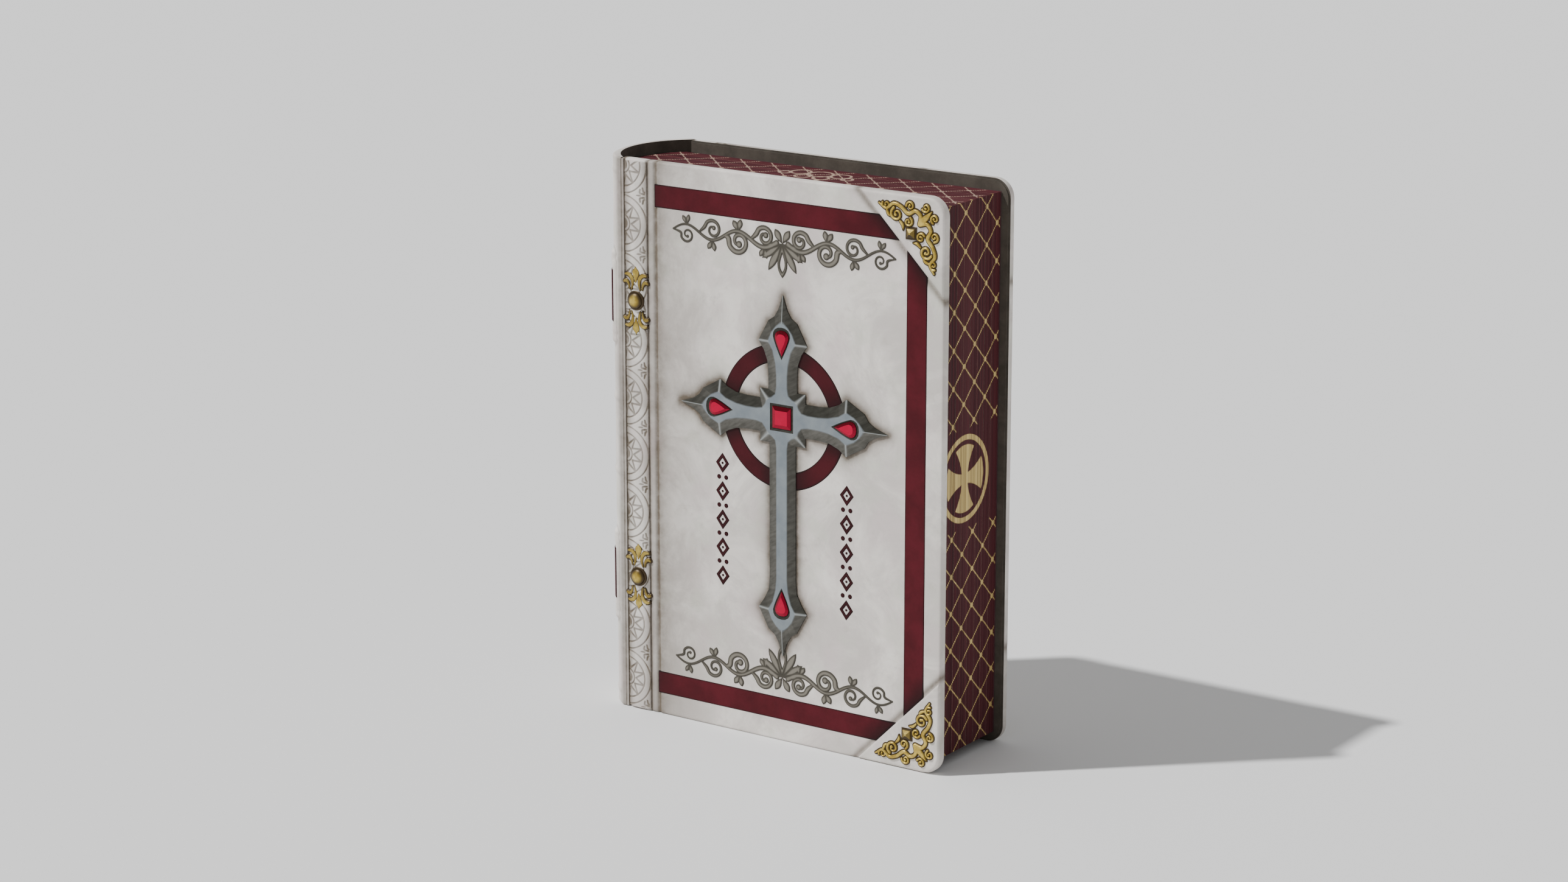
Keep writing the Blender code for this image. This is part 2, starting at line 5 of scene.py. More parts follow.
import bmesh
import bpy
import numpy as np
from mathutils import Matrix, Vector


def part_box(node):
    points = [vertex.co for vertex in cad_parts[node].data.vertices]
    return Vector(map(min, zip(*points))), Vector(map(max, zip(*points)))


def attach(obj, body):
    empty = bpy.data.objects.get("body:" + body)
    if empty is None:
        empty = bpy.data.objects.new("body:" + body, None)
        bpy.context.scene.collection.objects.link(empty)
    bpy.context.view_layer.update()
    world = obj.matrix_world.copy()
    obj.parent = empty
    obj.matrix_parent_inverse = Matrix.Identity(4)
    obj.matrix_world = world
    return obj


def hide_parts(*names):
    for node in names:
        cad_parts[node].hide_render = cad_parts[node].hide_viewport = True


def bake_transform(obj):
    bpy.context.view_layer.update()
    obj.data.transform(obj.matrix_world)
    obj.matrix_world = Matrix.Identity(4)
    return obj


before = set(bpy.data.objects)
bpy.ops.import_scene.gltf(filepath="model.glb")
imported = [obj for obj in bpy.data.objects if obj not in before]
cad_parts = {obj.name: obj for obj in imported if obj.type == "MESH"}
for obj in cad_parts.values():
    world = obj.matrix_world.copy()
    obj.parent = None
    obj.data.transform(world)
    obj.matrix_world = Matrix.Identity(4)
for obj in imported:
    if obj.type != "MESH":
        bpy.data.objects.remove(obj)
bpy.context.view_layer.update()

# ---------------------------------------------------------------- camera and light

CAMERA_PLACE = (0.8653, -1.2636, 0.5240)
CAMERA_TURN = (75.329, 0.0, 34.641)
CAMERA_LENS = 86.79
SENSOR_WIDTH = 36.0
SUN_DIRECTION = (0.430, 0.395, -0.812)


def add_object(name, data):
    """New object in the scene."""
    obj = bpy.data.objects.new(name, data)
    bpy.context.scene.collection.objects.link(obj)
    return obj


def make_camera():
    """Camera at the viewing angle of the picture."""
    camera = bpy.data.cameras.new("camera")
    camera.lens = CAMERA_LENS
    camera.sensor_width = SENSOR_WIDTH
    holder = add_object("camera", camera)
    holder.location = CAMERA_PLACE
    holder.rotation_euler = [math.radians(a) for a in CAMERA_TURN]
    bpy.context.scene.camera = holder


make_camera()

# ---------------------------------------------------------------- sizes, in millimetres
# The book's datum: x = 0 on the groove of the front cover, y = 0 on its outer face,
# z = 0 on the floor. Depths are measured inwards from the outer face of a cover.

MM = 0.001
BOARD_SPINE_X = -16.2
BOARD_THICK = 3.4
board_low, board_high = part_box("front_board")
rear_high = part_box("back_board")[1]
DATUM = np.array([board_low.x - BOARD_SPINE_X * MM, board_low.y, 0.0])
HEIGHT = board_high.z / MM
DEPTH = (rear_high.y - board_low.y) / MM
FORE_X = (board_high.x - DATUM[0]) / MM

CORNER_RADIUS = 8.0
EDGE_ROUND = 0.9
CROSS_X = 65.75
CROSS_Z = 140.2
FAR = 50.0
COVERS = (("front", True), ("back", False))
CANVAS_STEP = 0.2


def place(points):
    """Millimetre datum points to metres in the world."""
    return np.asarray(points, float) * MM + DATUM


def side(front, depth_in):
    """Depth coordinate measured inwards from a cover's outer face."""
    return depth_in if front else DEPTH - depth_in


# ---------------------------------------------------------------- material nodes


class Look:
    """A Principled material under construction."""

    def __init__(self, name, roughness=0.6, metallic=0.0, shine=None):
        self.material = bpy.data.materials.new(name)
        self.material.use_nodes = True
        self.tree = self.material.node_tree
        self.shader = self.tree.nodes["Principled BSDF"]
        self.shader.inputs["Roughness"].default_value = roughness
        self.shader.inputs["Metallic"].default_value = metallic
        if shine is not None:
            self.shader.inputs["Specular IOR Level"].default_value = shine
        self.place = self.tree.nodes.new("ShaderNodeTexCoord").outputs["Object"]

    def link(self, value, socket):
        """Connect a socket or set a plain value."""
        if isinstance(value, bpy.types.NodeSocket):
            self.tree.links.new(value, socket)
        else:
            socket.default_value = value

    def math(self, operation, a, b=0.0, c=0.0, clamp=False):
        """Math node."""
        node = self.tree.nodes.new("ShaderNodeMath")
        node.operation = operation
        node.use_clamp = clamp
        for value, socket in zip((a, b, c), node.inputs):
            self.link(value, socket)
        return node.outputs[0]

    def axis(self, index):
        """One coordinate, in metres."""
        node = self.tree.nodes.new("ShaderNodeSeparateXYZ")
        self.link(self.place, node.inputs[0])
        return node.outputs[index]

    def datum(self, index, centre=0.0, unit=1.0):
        """Datum coordinate measured from a centre, in a unit given in millimetres."""
        start = float(DATUM[index]) + centre * MM
        return self.math("DIVIDE", self.math("SUBTRACT", self.axis(index), start), unit * MM)

    def distance(self, a, b):
        """Length of the slanting side over two legs."""
        squares = [self.math("MULTIPLY", leg, leg) for leg in (a, b)]
        return self.math("SQRT", self.math("ADD", *squares))

    def stretch(self, scales):
        """Coordinates scaled differently along each axis."""
        node = self.tree.nodes.new("ShaderNodeMapping")
        node.inputs["Scale"].default_value = scales
        self.link(self.place, node.inputs["Vector"])
        return node.outputs[0]

    def noise(self, scale, detail=4.0, rough=0.55, vector=None, warp=0.0):
        """Noise between 0 and 1."""
        node = self.tree.nodes.new("ShaderNodeTexNoise")
        node.inputs["Scale"].default_value = scale
        node.inputs["Detail"].default_value = detail
        node.inputs["Roughness"].default_value = rough
        node.inputs["Distortion"].default_value = warp
        self.link(vector or self.place, node.inputs["Vector"])
        return node.outputs["Fac"]

    def attribute(self, name):
        """Painted value carried by the mesh."""
        node = self.tree.nodes.new("ShaderNodeAttribute")
        node.attribute_name = name
        return node.outputs["Fac"]

    def band(self, value, low, high, to_low=0.0, to_high=1.0):
        """Smooth step of a value between two limits."""
        node = self.tree.nodes.new("ShaderNodeMapRange")
        node.interpolation_type = "SMOOTHSTEP"
        self.link(value, node.inputs["Value"])
        for key, number in zip(("From Min", "From Max", "To Min", "To Max"),
                               (low, high, to_low, to_high)):
            node.inputs[key].default_value = number
        return node.outputs["Result"]

    def mix(self, factor, first, second):
        """Mix two colours."""
        node = self.tree.nodes.new("ShaderNodeMix")
        node.data_type = "RGBA"
        self.link(factor, node.inputs["Factor"])
        self.link(first, node.inputs[6])
        self.link(second, node.inputs[7])
        return node.outputs[2]

    def bump(self, height, strength=0.3, distance=0.0002):
        """Fine surface relief."""
        node = self.tree.nodes.new("ShaderNodeBump")
        node.inputs["Strength"].default_value = strength
        node.inputs["Distance"].default_value = distance
        self.link(height, node.inputs["Height"])
        self.link(node.outputs[0], self.shader.inputs["Normal"])

    def finish(self, colour, roughness=None):
        """Plug in the colour and, where given, a varying roughness."""
        self.link(colour, self.shader.inputs["Base Color"])
        if roughness is not None:
            self.link(roughness, self.shader.inputs["Roughness"])
        return self.material


def leather_look():
    """Pale mottled vellum, darkened by painted shade in its hollows and by soiling."""
    look = Look("pale_vellum", 0.62, shine=0.3)
    cloud = look.band(look.noise(30.0, 7.0, 0.66, warp=0.7), 0.38, 0.64)
    colour = look.mix(cloud, (0.63, 0.585, 0.545, 1), (0.86, 0.815, 0.76, 1))
    pink = look.band(look.noise(52.0, 4.0, 0.55, look.stretch((1, 1, 0.7))), 0.48, 0.68)
    green = look.band(look.noise(67.0, 3.0, 0.55, look.stretch((0.8, 1, 1))), 0.52, 0.70)
    stain = look.band(look.noise(120.0, 8.0, 0.74), 0.54, 0.72)
    worn = look.band(look.noise(41.0, 9.0, 0.78, warp=1.2), 0.55, 0.66)
    for patches, share, tint in ((pink, 0.55, (0.68, 0.585, 0.575, 1)), (green, 0.50, (0.64, 0.65, 0.555, 1)),
                                 (stain, 0.40, (0.50, 0.455, 0.42, 1)), (worn, 0.30, (0.56, 0.52, 0.485, 1))):
        colour = look.mix(look.math("MULTIPLY", patches, share), colour, tint)
    # The painted attribute read here darkens the leather: painted shade in hollows, grooves, creases and
    # round raised parts, and real soiling.
    soil_and_shade = look.attribute("soil_and_shade")
    broken = look.math("MULTIPLY_ADD", look.noise(190.0, 5.0, 0.65), 0.9, 0.55)
    soil_and_shade = look.math("MULTIPLY", soil_and_shade, broken, clamp=True)
    colour = look.mix(soil_and_shade, colour, (0.140, 0.112, 0.082, 1))
    grain = look.noise(1500.0, 4.0, 0.6)
    pores = look.noise(520.0, 6.0, 0.7)
    look.bump(look.math("MULTIPLY_ADD", pores, 0.7, grain), 0.22, 0.00015)
    rough = look.math("MULTIPLY_ADD", pores, 0.25, 0.48)
    return look.finish(colour, rough)


def red_look():
    """Deep crimson leather, darkened along its edges."""
    look = Look("crimson_leather", 0.6, shine=0.16)
    cloud = look.band(look.noise(70.0, 5.0, 0.6), 0.32, 0.70)
    colour = look.mix(cloud, (0.062, 0.0042, 0.0085, 1), (0.094, 0.0068, 0.0135, 1))
    streak = look.noise(140.0, 4.0, 0.6, look.stretch((1, 1, 0.3)))
    colour = look.mix(look.band(streak, 0.5, 0.8, 0.0, 0.35), colour, (0.070, 0.006, 0.006, 1))
    # The attribute read here darkens scorched rims and adds painted shade near the corner guards and the
    # groove.
    colour = look.mix(look.attribute("soil_and_shade"), colour, (0.010, 0.0035, 0.0035, 1))
    grain = look.noise(900.0, 5.0, 0.65)
    look.bump(grain, 0.3, 0.00012)
    return look.finish(colour, look.math("MULTIPLY_ADD", grain, 0.3, 0.42))


def ornament_look():
    """Taupe tooling, dark at the rim and paler on the crown."""
    look = Look("taupe_tooling", 0.6, shine=0.25)
    rise = look.attribute("crown")
    cloud = look.noise(320.0, 4.0, 0.6)
    value = look.math("MULTIPLY_ADD", cloud, 0.35, look.math("SUBTRACT", rise, 0.17), clamp=True)
    colour = look.mix(value, (0.056, 0.050, 0.038, 1), (0.205, 0.188, 0.155, 1))
    look.bump(look.noise(1400.0, 3.0, 0.6), 0.2, 0.0001)
    return look.finish(colour)


def gold_look():
    """Aged gilt metal with dark brown in the recesses."""
    look = Look("aged_gilt", 0.34, 0.55)
    crown = look.attribute("crown")
    worn = look.noise(260.0, 6.0, 0.65)
    colour = look.mix(look.band(worn, 0.35, 0.7), (0.40, 0.265, 0.035, 1), (0.70, 0.53, 0.125, 1))
    # The crown attribute also carries painted light and shade on the studs and the sprays.
    colour = look.mix(crown, (0.050, 0.031, 0.012, 1), colour)
    fine = look.noise(1700.0, 3.0, 0.5)
    look.bump(fine, 0.15, 0.0001)
    rough = look.math("MULTIPLY_ADD", worn, 0.35, 0.24)
    return look.finish(colour, rough)


def steel_look():
    """Brushed blue-grey steel with painted shade on its facets and pale arrises."""
    look = Look("brushed_steel", 0.5, 0.1, shine=0.3)
    facet = look.attribute("facet")
    brush = look.noise(420.0, 5.0, 0.65, look.stretch((1.0, 1.0, 0.16)))
    cloud = look.band(look.noise(110.0, 4.0, 0.6), 0.3, 0.7)
    plane = look.mix(cloud, (0.176, 0.204, 0.230, 1), (0.236, 0.268, 0.284, 1))
    plane = look.mix(look.band(brush, 0.45, 0.8, 0.0, 0.4), plane, (0.215, 0.24, 0.25, 1))
    hatch = hatching(look)
    light = look.mix(hatch, (0.072, 0.068, 0.057, 1), (0.130, 0.125, 0.110, 1))
    deep = look.mix(hatch, (0.017, 0.016, 0.011, 1), (0.036, 0.035, 0.027, 1))
    # Painted shade: each facet takes a lighter or deeper colour by the way it faces.
    sides = look.mix(look.attribute("tone"), deep, light)
    colour = look.mix(facet, plane, sides)
    colour = look.mix(look.attribute("ridge"), colour, (0.34, 0.36, 0.355, 1))
    look.bump(brush, 0.2, 0.00012)
    return look.finish(colour, look.math("MULTIPLY_ADD", brush, 0.25, 0.42))


def hatching(look):
    """Slanting file marks, broken up along their length."""
    x, z = look.axis(0), look.axis(2)
    across = look.math("ADD", x, look.math("MULTIPLY", z, 0.55))
    along = look.math("SUBTRACT", z, look.math("MULTIPLY", x, 0.55))
    join = look.tree.nodes.new("ShaderNodeCombineXYZ")
    look.link(look.math("MULTIPLY", across, 160.0), join.inputs[0])
    look.link(look.math("MULTIPLY", along, 620.0), join.inputs[1])
    strokes = look.noise(1.0, 3.0, 0.55, join.outputs[0])
    patch = look.noise(240.0, 3.0, 0.5)
    return look.band(look.math("MULTIPLY_ADD", patch, 0.35, strokes), 0.42, 0.95)


def gem_look():
    """Polished raspberry glass with painted shade on its facets."""
    look = Look("raspberry_glass", 0.3, shine=0.12)
    tone = look.attribute("tone")
    swirl = look.noise(260.0, 3.0, 0.5)
    bright = look.mix(swirl, (0.42, 0.0005, 0.030, 1), (0.54, 0.001, 0.048, 1))
    colour = look.mix(tone, (0.050, 0.0008, 0.003, 1), bright)
    return look.finish(colour, look.math("MULTIPLY_ADD", swirl, 0.1, 0.22))


def dark_look(name, deep, pale):
    """Dark brown paper or cloth lining."""
    look = Look(name, 0.8)
    cloud = look.noise(90.0, 6.0, 0.65)
    colour = look.mix(look.band(cloud, 0.3, 0.7), deep, pale)
    fibre = look.noise(1300.0, 4.0, 0.6, look.stretch((1, 1, 0.35)))
    look.bump(fibre, 0.3, 0.00012)
    return look.finish(colour, look.math("MULTIPLY_ADD", fibre, 0.2, 0.68))


# ---------------------------------------------------------------- meshes


def tag(obj, body, nodes=()):
    """Attach a finished piece to its body and hide the nodes it stands for."""
    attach(obj, body)
    if nodes:
        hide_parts(*nodes)


def make_piece(name, points, faces, looks, paint=None, which=None, sharp=None):
    """Mesh object from datum points, with painted attributes and smooth shading."""
    mesh = bpy.data.meshes.new(name)
    mesh.from_pydata(place(points).tolist(), [], faces)
    for key, values in (paint or {}).items():
        layer = mesh.attributes.new(key, "FLOAT", "POINT")
        layer.data.foreach_set("value", np.asarray(values, np.float32))
    for look in looks:
        mesh.materials.append(look)
    if which is not None:
        mesh.polygons.foreach_set("material_index", np.asarray(which, np.int32))
    if sharp is not None:
        shade_smooth(mesh, sharp)
    mesh.update()
    return add_object(name, mesh)


def grid_faces(rows, columns, wrap=False):
    """Quads over points that are listed row by row, closed into a tube where wanted."""
    faces = []
    for r in range(rows if wrap else rows - 1):
        here, after = r * columns, (r + 1) % rows * columns
        for c in range(columns - 1):
            faces.append((here + c, here + c + 1, after + c + 1, after + c))
    return faces


def shade_smooth(mesh, sharp):
    """Smooth shading with edges kept sharp above an angle in degrees."""
    mesh.polygons.foreach_set("use_smooth", np.ones(len(mesh.polygons), bool))
    mesh.set_sharp_from_angle(angle=math.radians(sharp))


def fix_normals(piece):
    """Turn every face of a closed piece outwards."""
    work = bmesh.new()
    work.from_mesh(piece.data)
    bmesh.ops.recalc_face_normals(work, faces=work.faces)
    work.to_mesh(piece.data)
    work.free()


def spread(xs, zs):
    """Both coordinates at every crossing of a grid."""
    return np.meshgrid(xs, zs, indexing="ij")


def trim_grid(xs, zs, field):
    """Cells of a grid where a field is negative, cut cleanly along its zero line."""
    inside = field < 0.0
    ids = np.full(field.shape, -1)
    where = np.argwhere(inside)
    ids[inside] = np.arange(len(where))
    points = [np.column_stack((xs[where[:, 0]], zs[where[:, 1]]))]
    depths = [-field[inside]]
    cuts = {}
    extra = []

    def cut(a, b):
        key = (a, b) if a < b else (b, a)
        if key not in cuts:
            fa = field[key[0]]
            fb = field[key[1]]
            t = fa / (fa - fb)
            ax, az = xs[key[0][0]], zs[key[0][1]]
            bx, bz = xs[key[1][0]], zs[key[1][1]]
            extra.append((ax + (bx - ax) * t, az + (bz - az) * t))
            cuts[key] = len(where) + len(extra) - 1
        return cuts[key]

    corners = inside[:-1, :-1].astype(int) + inside[1:, :-1] + inside[1:, 1:] + inside[:-1, 1:]
    full = np.argwhere(corners == 4)
    i, j = full[:, 0], full[:, 1]
    quads = np.column_stack((ids[i, j], ids[i + 1, j], ids[i + 1, j + 1], ids[i, j + 1]))
    faces = quads.tolist()
    for i, j in np.argwhere((corners > 0) & (corners < 4)).tolist():
        ring = [(i, j), (i + 1, j), (i + 1, j + 1), (i, j + 1)]
        face = []
        for k in range(4):
            here, after = ring[k], ring[(k + 1) % 4]
            if inside[here]:
                face.append(int(ids[here]))
            if inside[here] != inside[after]:
                face.append(cut(here, after))
        if len(set(face)) > 2:
            faces.append(face)
    if extra:
        points.append(np.array(extra))
        depths.append(np.zeros(len(extra)))
    return np.vstack(points), np.concatenate(depths), faces


def relief(name, xs, zs, field, height, front, looks, paint=None, sink=0.4, ground=None,
           sharp=50.0, rim_steps=()):
    """Raised shape on a cover: height above the face, with walls going down into it."""
    flat, depth, faces = trim_grid(xs, zs, field)
    x, z = flat[:, 0], flat[:, 1]
    base = cover_depth(x, z) if ground is None else ground(x, z)
    up = base - height(x, z, depth)
    points = np.column_stack((x, side(front, up), z))
    painted = {key: rule(x, z, depth) for key, rule in (paint or {}).items()}
    if not front:
        faces = [face[::-1] for face in faces]
    obj = make_piece(name, points, faces, looks, painted)
    work = bmesh.new()
    work.from_mesh(obj.data)
    edges = [edge for edge in work.edges if edge.is_boundary]
    steps = rim_steps or ((sink, 0.0),)
    for below, absolute in steps:
        grown = bmesh.ops.extrude_edge_only(work, edges=edges)["geom"]
        for vert in [g for g in grown if isinstance(g, bmesh.types.BMVert)]:
            if absolute:
                vert.co.y = place((0.0, side(front, absolute), 0.0))[1]
            else:
                vert.co.y += (below if front else -below) * MM
        edges = [g for g in grown if isinstance(g, bmesh.types.BMEdge) and g.is_boundary]
    if rim_steps:
        bmesh.ops.edgeloop_fill(work, edges=edges)
    work.to_mesh(obj.data)
    work.free()
    shade_smooth(obj.data, sharp)
    return obj


def polygon_distance(outline, x, z):
    """Signed distance to a closed outline, negative inside."""
    best = np.full(np.shape(x), FAR * FAR)
    inside = np.zeros(np.shape(x), bool)
    count = len(outline)
    for index in range(count):
        ax, az = outline[index]
        bx, bz = outline[(index + 1) % count]
        dx, dz = bx - ax, bz - az
        length = dx * dx + dz * dz
        t = np.clip(((x - ax) * dx + (z - az) * dz) / max(length, 1e-9), 0.0, 1.0)
        best = np.minimum(best, (x - ax - t * dx) ** 2 + (z - az - t * dz) ** 2)
        crossing = (az > z) != (bz > z)
        if dz != 0.0:
            inside ^= crossing & (x < (bx - ax) * (z - az) / dz + ax)
    distance = np.sqrt(best)
    return np.where(inside, -distance, distance)


def smooth_path(points, spacing=0.12):
    """Dense points with radii along a smooth curve through given ones."""
    controls = np.array(points, float)
    padded = np.vstack((2 * controls[0] - controls[1], controls, 2 * controls[-1] - controls[-2]))
    path = []
    for k in range(1, len(padded) - 2):
        a, b, c, d = padded[k - 1:k + 3]
        steps = max(2, int(np.hypot(*(c - b)[:2]) / spacing))
        for t in np.arange(steps) / steps:
            path.append(0.5 * (2 * b + (c - a) * t + (2 * a - 5 * b + 4 * c - d) * t * t
                               + (3 * b - a - 3 * c + d) * t ** 3))
    path.append(controls[-1])
    return np.array(path)


def curl(x, z, reach, start, sweep, thick):
    """Spiral stroke from its outer end to its eye, where it ends in a small bead."""
    points = []
    for t in np.linspace(0.0, 1.0, 14):
        angle = math.radians(start + sweep * t)
        radius = reach * (1.0 - 0.78 * t)
        half = thick * (1.0 - 0.45 * t) if t < 1.0 else 1.15 * thick
        points.append((x + radius * math.cos(angle), z + radius * math.sin(angle), half))
    return points


def leaf(x, z, angle, length, width):
    """Pointed leaf growing from a spot at an angle in degrees."""
    turn = math.radians(angle)
    ahead = np.array((math.cos(turn), math.sin(turn)))
    across = np.array((-ahead[1], ahead[0]))
    spine = np.linspace(0.0, 1.0, 11)
    half = width * np.sin(math.pi * spine ** 1.35) ** 0.85
    points = [(x, z) + ahead * length * t + across * w for t, w in zip(spine, half)]
    points += [(x, z) + ahead * length * t - across * w
               for t, w in zip(spine[-2:0:-1], half[-2:0:-1])]
    return [tuple(p) for p in points]


class Canvas:
    """Signed distance to a union of strokes and outlines, on a fine grid."""

    REACH = 1.6

    def __init__(self, low, high, step=CANVAS_STEP):
        self.xs = np.arange(low[0], high[0] + step, step)
        self.zs = np.arange(low[1], high[1] + step, step)
        self.field = np.full((len(self.xs), len(self.zs)), FAR)

    def disc(self, x, z, radius):
        """Add one disc."""
        reach = radius + self.REACH
        i0, i1 = np.searchsorted(self.xs, (x - reach, x + reach))
        j0, j1 = np.searchsorted(self.zs, (z - reach, z + reach))
        if i1 > i0 and j1 > j0:
            near = np.hypot(self.xs[i0:i1, None] - x, self.zs[None, j0:j1] - z) - radius
            window = self.field[i0:i1, j0:j1]
            np.minimum(window, near, out=window)

    def stroke(self, points):
        """Add a tapered stroke given as (x, z, half width)."""
        for x, z, radius in smooth_path(points):
            self.disc(x, z, max(radius, 0.05))

    def outline(self, points, cut=False):
        """Add a closed outline, or cut it away."""
        x, z = spread(self.xs, self.zs)
        shape = polygon_distance(points, x, z)
        if cut:
            self.field = np.maximum(self.field, -shape)
        else:
            self.field = np.minimum(self.field, shape)


def pillow(depth, width, height):
    """Rounded rise from an edge."""
    t = np.clip(depth / width, 0.0, 1.0)
    return height * np.sqrt(1.0 - (1.0 - t) ** 2)


def step_up(value, low, high):
    """Smooth step."""
    t = np.clip((value - low) / (high - low), 0.0, 1.0)
    return t * t * (3.0 - 2.0 * t)


def hump(value, centre, width):
    """Bell of height one."""
    return np.exp(-((value - centre) / width) ** 2)


# ---------------------------------------------------------------- cover leather

JOINT_VALLEY = -14.7
BAND_VALLEY = -3.2
GROOVE_X = 1.0
BAND_MARGIN = 9.4
BAND_WIDE = 9.7
BAND_OUT_X = 135.2
BAND_IN_X = 125.5
BAND_START_X = 0.9
CORNER_LEG = 40.2


def cover_distance(x, z):
    """Signed distance to the board's outline, rounded at the fore-edge."""
    middle_x = (BOARD_SPINE_X + FORE_X) / 2
    half_x = (FORE_X - BOARD_SPINE_X) / 2
    half_z = HEIGHT / 2
    radius = np.where(x > middle_x, CORNER_RADIUS, 0.6)
    a = np.abs(x - middle_x) - half_x + radius
    b = np.abs(z - half_z) - half_z + radius
    outside = np.hypot(np.maximum(a, 0.0), np.maximum(b, 0.0))
    return outside + np.minimum(np.maximum(a, b), 0.0) - radius


def corner_reach(x, z):
    """Distance beyond the nearest corner guard's diagonal, negative on the guard."""
    down = np.minimum(z, HEIGHT - z)
    return ((FORE_X - x) + down - CORNER_LEG) / math.sqrt(2.0)


def edge_depth(x, z):
    """Depth of the cover near its rounded edges only."""
    near = np.clip(-cover_distance(x, z), 0.0, EDGE_ROUND)
    return EDGE_ROUND - np.sqrt(np.maximum(EDGE_ROUND ** 2 - (EDGE_ROUND - near) ** 2, 0.0))


def outer_plane(x, z):
    """Depth of the cover's outer plane, which is nothing everywhere."""
    return 0.0 * x


def cover_depth(x, z):
    """How far the leather lies below the cover's outer plane."""
    valley = 0.75 * hump(x, JOINT_VALLEY, 0.6) + 0.75 * hump(x, BAND_VALLEY, 0.5)
    valley += 0.6 * hump(x, GROOVE_X, 0.9)
    crease = 0.22 * hump(corner_reach(x, z), 0.9, 1.1)
    return edge_depth(x, z) + valley + crease


def cover_soil_and_shade(x, z):
    """Brown-grey darkening: painted shade in the hollows, beside the groove and along the corner guards'
    creases, and soiling on handled edges.
    """
    soil_and_shade = 0.62 * hump(x, JOINT_VALLEY, 0.8) + 0.66 * hump(x, BAND_VALLEY, 0.9)
    soil_and_shade += 0.60 * (x < JOINT_VALLEY) + 0.10 * hump(x, -1.6, 1.6)
    soil_and_shade += 0.46 * hump(x, GROOVE_X, 0.9)
    beyond = np.maximum(x - GROOVE_X, 0.0)
    soil_and_shade += (0.34 * hump(beyond, 0.0, 5.0) + 0.40 * hump(beyond, 0.0, 22.0)) * (x > GROOVE_X)
    soil_and_shade += 0.42 * (x > BAND_VALLEY) * (x <= GROOVE_X)
    reach = corner_reach(x, z)
    soil_and_shade += 0.62 * hump(reach, 1.3, 1.3) + 0.16 * hump(np.maximum(reach, 0.0), 0.0, 3.6)
    edge = -cover_distance(x, z)
    soil_and_shade += 0.08 * hump(edge, 0.0, 1.2)
    return soil_and_shade


def grid_lines(low, high, fine, coarse):
    """Grid coordinates: fine spacing inside the given stretches, coarse elsewhere."""
    lines = [low]
    while lines[-1] < high - 1e-6:
        here = lines[-1]
        step = coarse
        for start, end, size in fine:
            if start - 1e-6 <= here < end:
                step = min(step, size)
            elif here < start:
                step = min(step, max(start - here, 0.05))
        lines.append(min(here + step, high))
    return np.array(lines)


def both_ends(low, high, first, last=None):
    """Fine stretches at the two ends of a range, each given as its length and spacing."""
    last = last or first
    return [(low, low + first[0], first[1]), (high - last[0], high, last[1])]


def make_cover_skin(label, front, looks, shade_outline):
    """Board covered in leather: rounded edges, hollows, creases, painted soiling and painted shade, with
    painted shade round an outline where one is given.
    """
    xs = grid_lines(BOARD_SPINE_X - 0.3, FORE_X + 0.3,
                    [(BOARD_SPINE_X - 0.3, -13.8, 0.22), (-4.6, 5.0, 0.3),
                     (BAND_OUT_X - 0.5, FORE_X + 0.3, 0.35)], 1.0)
    zs = grid_lines(-0.3, HEIGHT + 0.3, [(-0.3, 9.0, 0.35), (HEIGHT - 9.0, HEIGHT + 0.3, 0.35)], 1.0)
    x, z = spread(xs, zs)
    field = cover_distance(x, z)

    def soil_and_shade(px, pz, depth):
        value = cover_soil_and_shade(px, pz)
        # Painted shade round the given outline (the cross on the front cover), deep close in and fading over
        # a few millimetres.
        if shade_outline is not None:
            away = polygon_distance(shade_outline, px, pz)
            value = value + 0.66 * hump(np.maximum(away, 0.0), 0.0, 2.4)
            value = value + 0.26 * hump(np.maximum(away, 0.0), 0.0, 6.0)
        return np.clip(value, 0.0, 1.0)

    skin = relief(label + "_cover_leather", xs, zs, field, lambda px, pz, d: 0.0 * px, front,
                  [looks["leather"], looks["lining"]], {"soil_and_shade": soil_and_shade},
                  rim_steps=((0.0, BOARD_THICK - 0.5), (0.0, BOARD_THICK)))
    inner_y = place((0.0, side(front, BOARD_THICK), 0.0))[1]
    for face in skin.data.polygons:
        if abs(face.center.y - inner_y) < 0.01 * MM:
            face.material_index = 1
    tag(skin, label + "_cover", [label + "_board"])


# ---------------------------------------------------------------- roundel band

ROUNDEL_X = -15.2
ROUNDEL_PITCH = 24.85
ROUNDEL_FIRST = 13.6
ROUNDEL_OUTER = 12.0
ROUNDEL_INNER = 9.0
ROUNDEL_HUB = 2.2
STAR_POINTS = 10
STAR_RADII = (9.0, 4.4)
LINE_HALF = 0.24
STAR_LINE = 0.34
SPRIG = [[(-8.0, 0.0, 0.12), (-7.0, 0.0, 0.32), (-6.0, 0.0, 0.15)],
         [(-6.2, 2.6, 0.3), (-6.3, 1.2, 0.36), (-5.0, 0.8, 0.34), (-4.2, 0.7, 0.2)],
         [(-5.0, 3.3, 0.3), (-4.7, 2.0, 0.36), (-4.2, 1.5, 0.3)]]


def star_outline(x, z, radii, turn, points):
    """Pointed star with its own outer and inner radius."""
    outline = []
    for k in range(points * 2):
        angle = turn + math.pi * k / points
        outline.append((x + radii[k % 2] * math.cos(angle), z + radii[k % 2] * math.sin(angle)))
    return outline


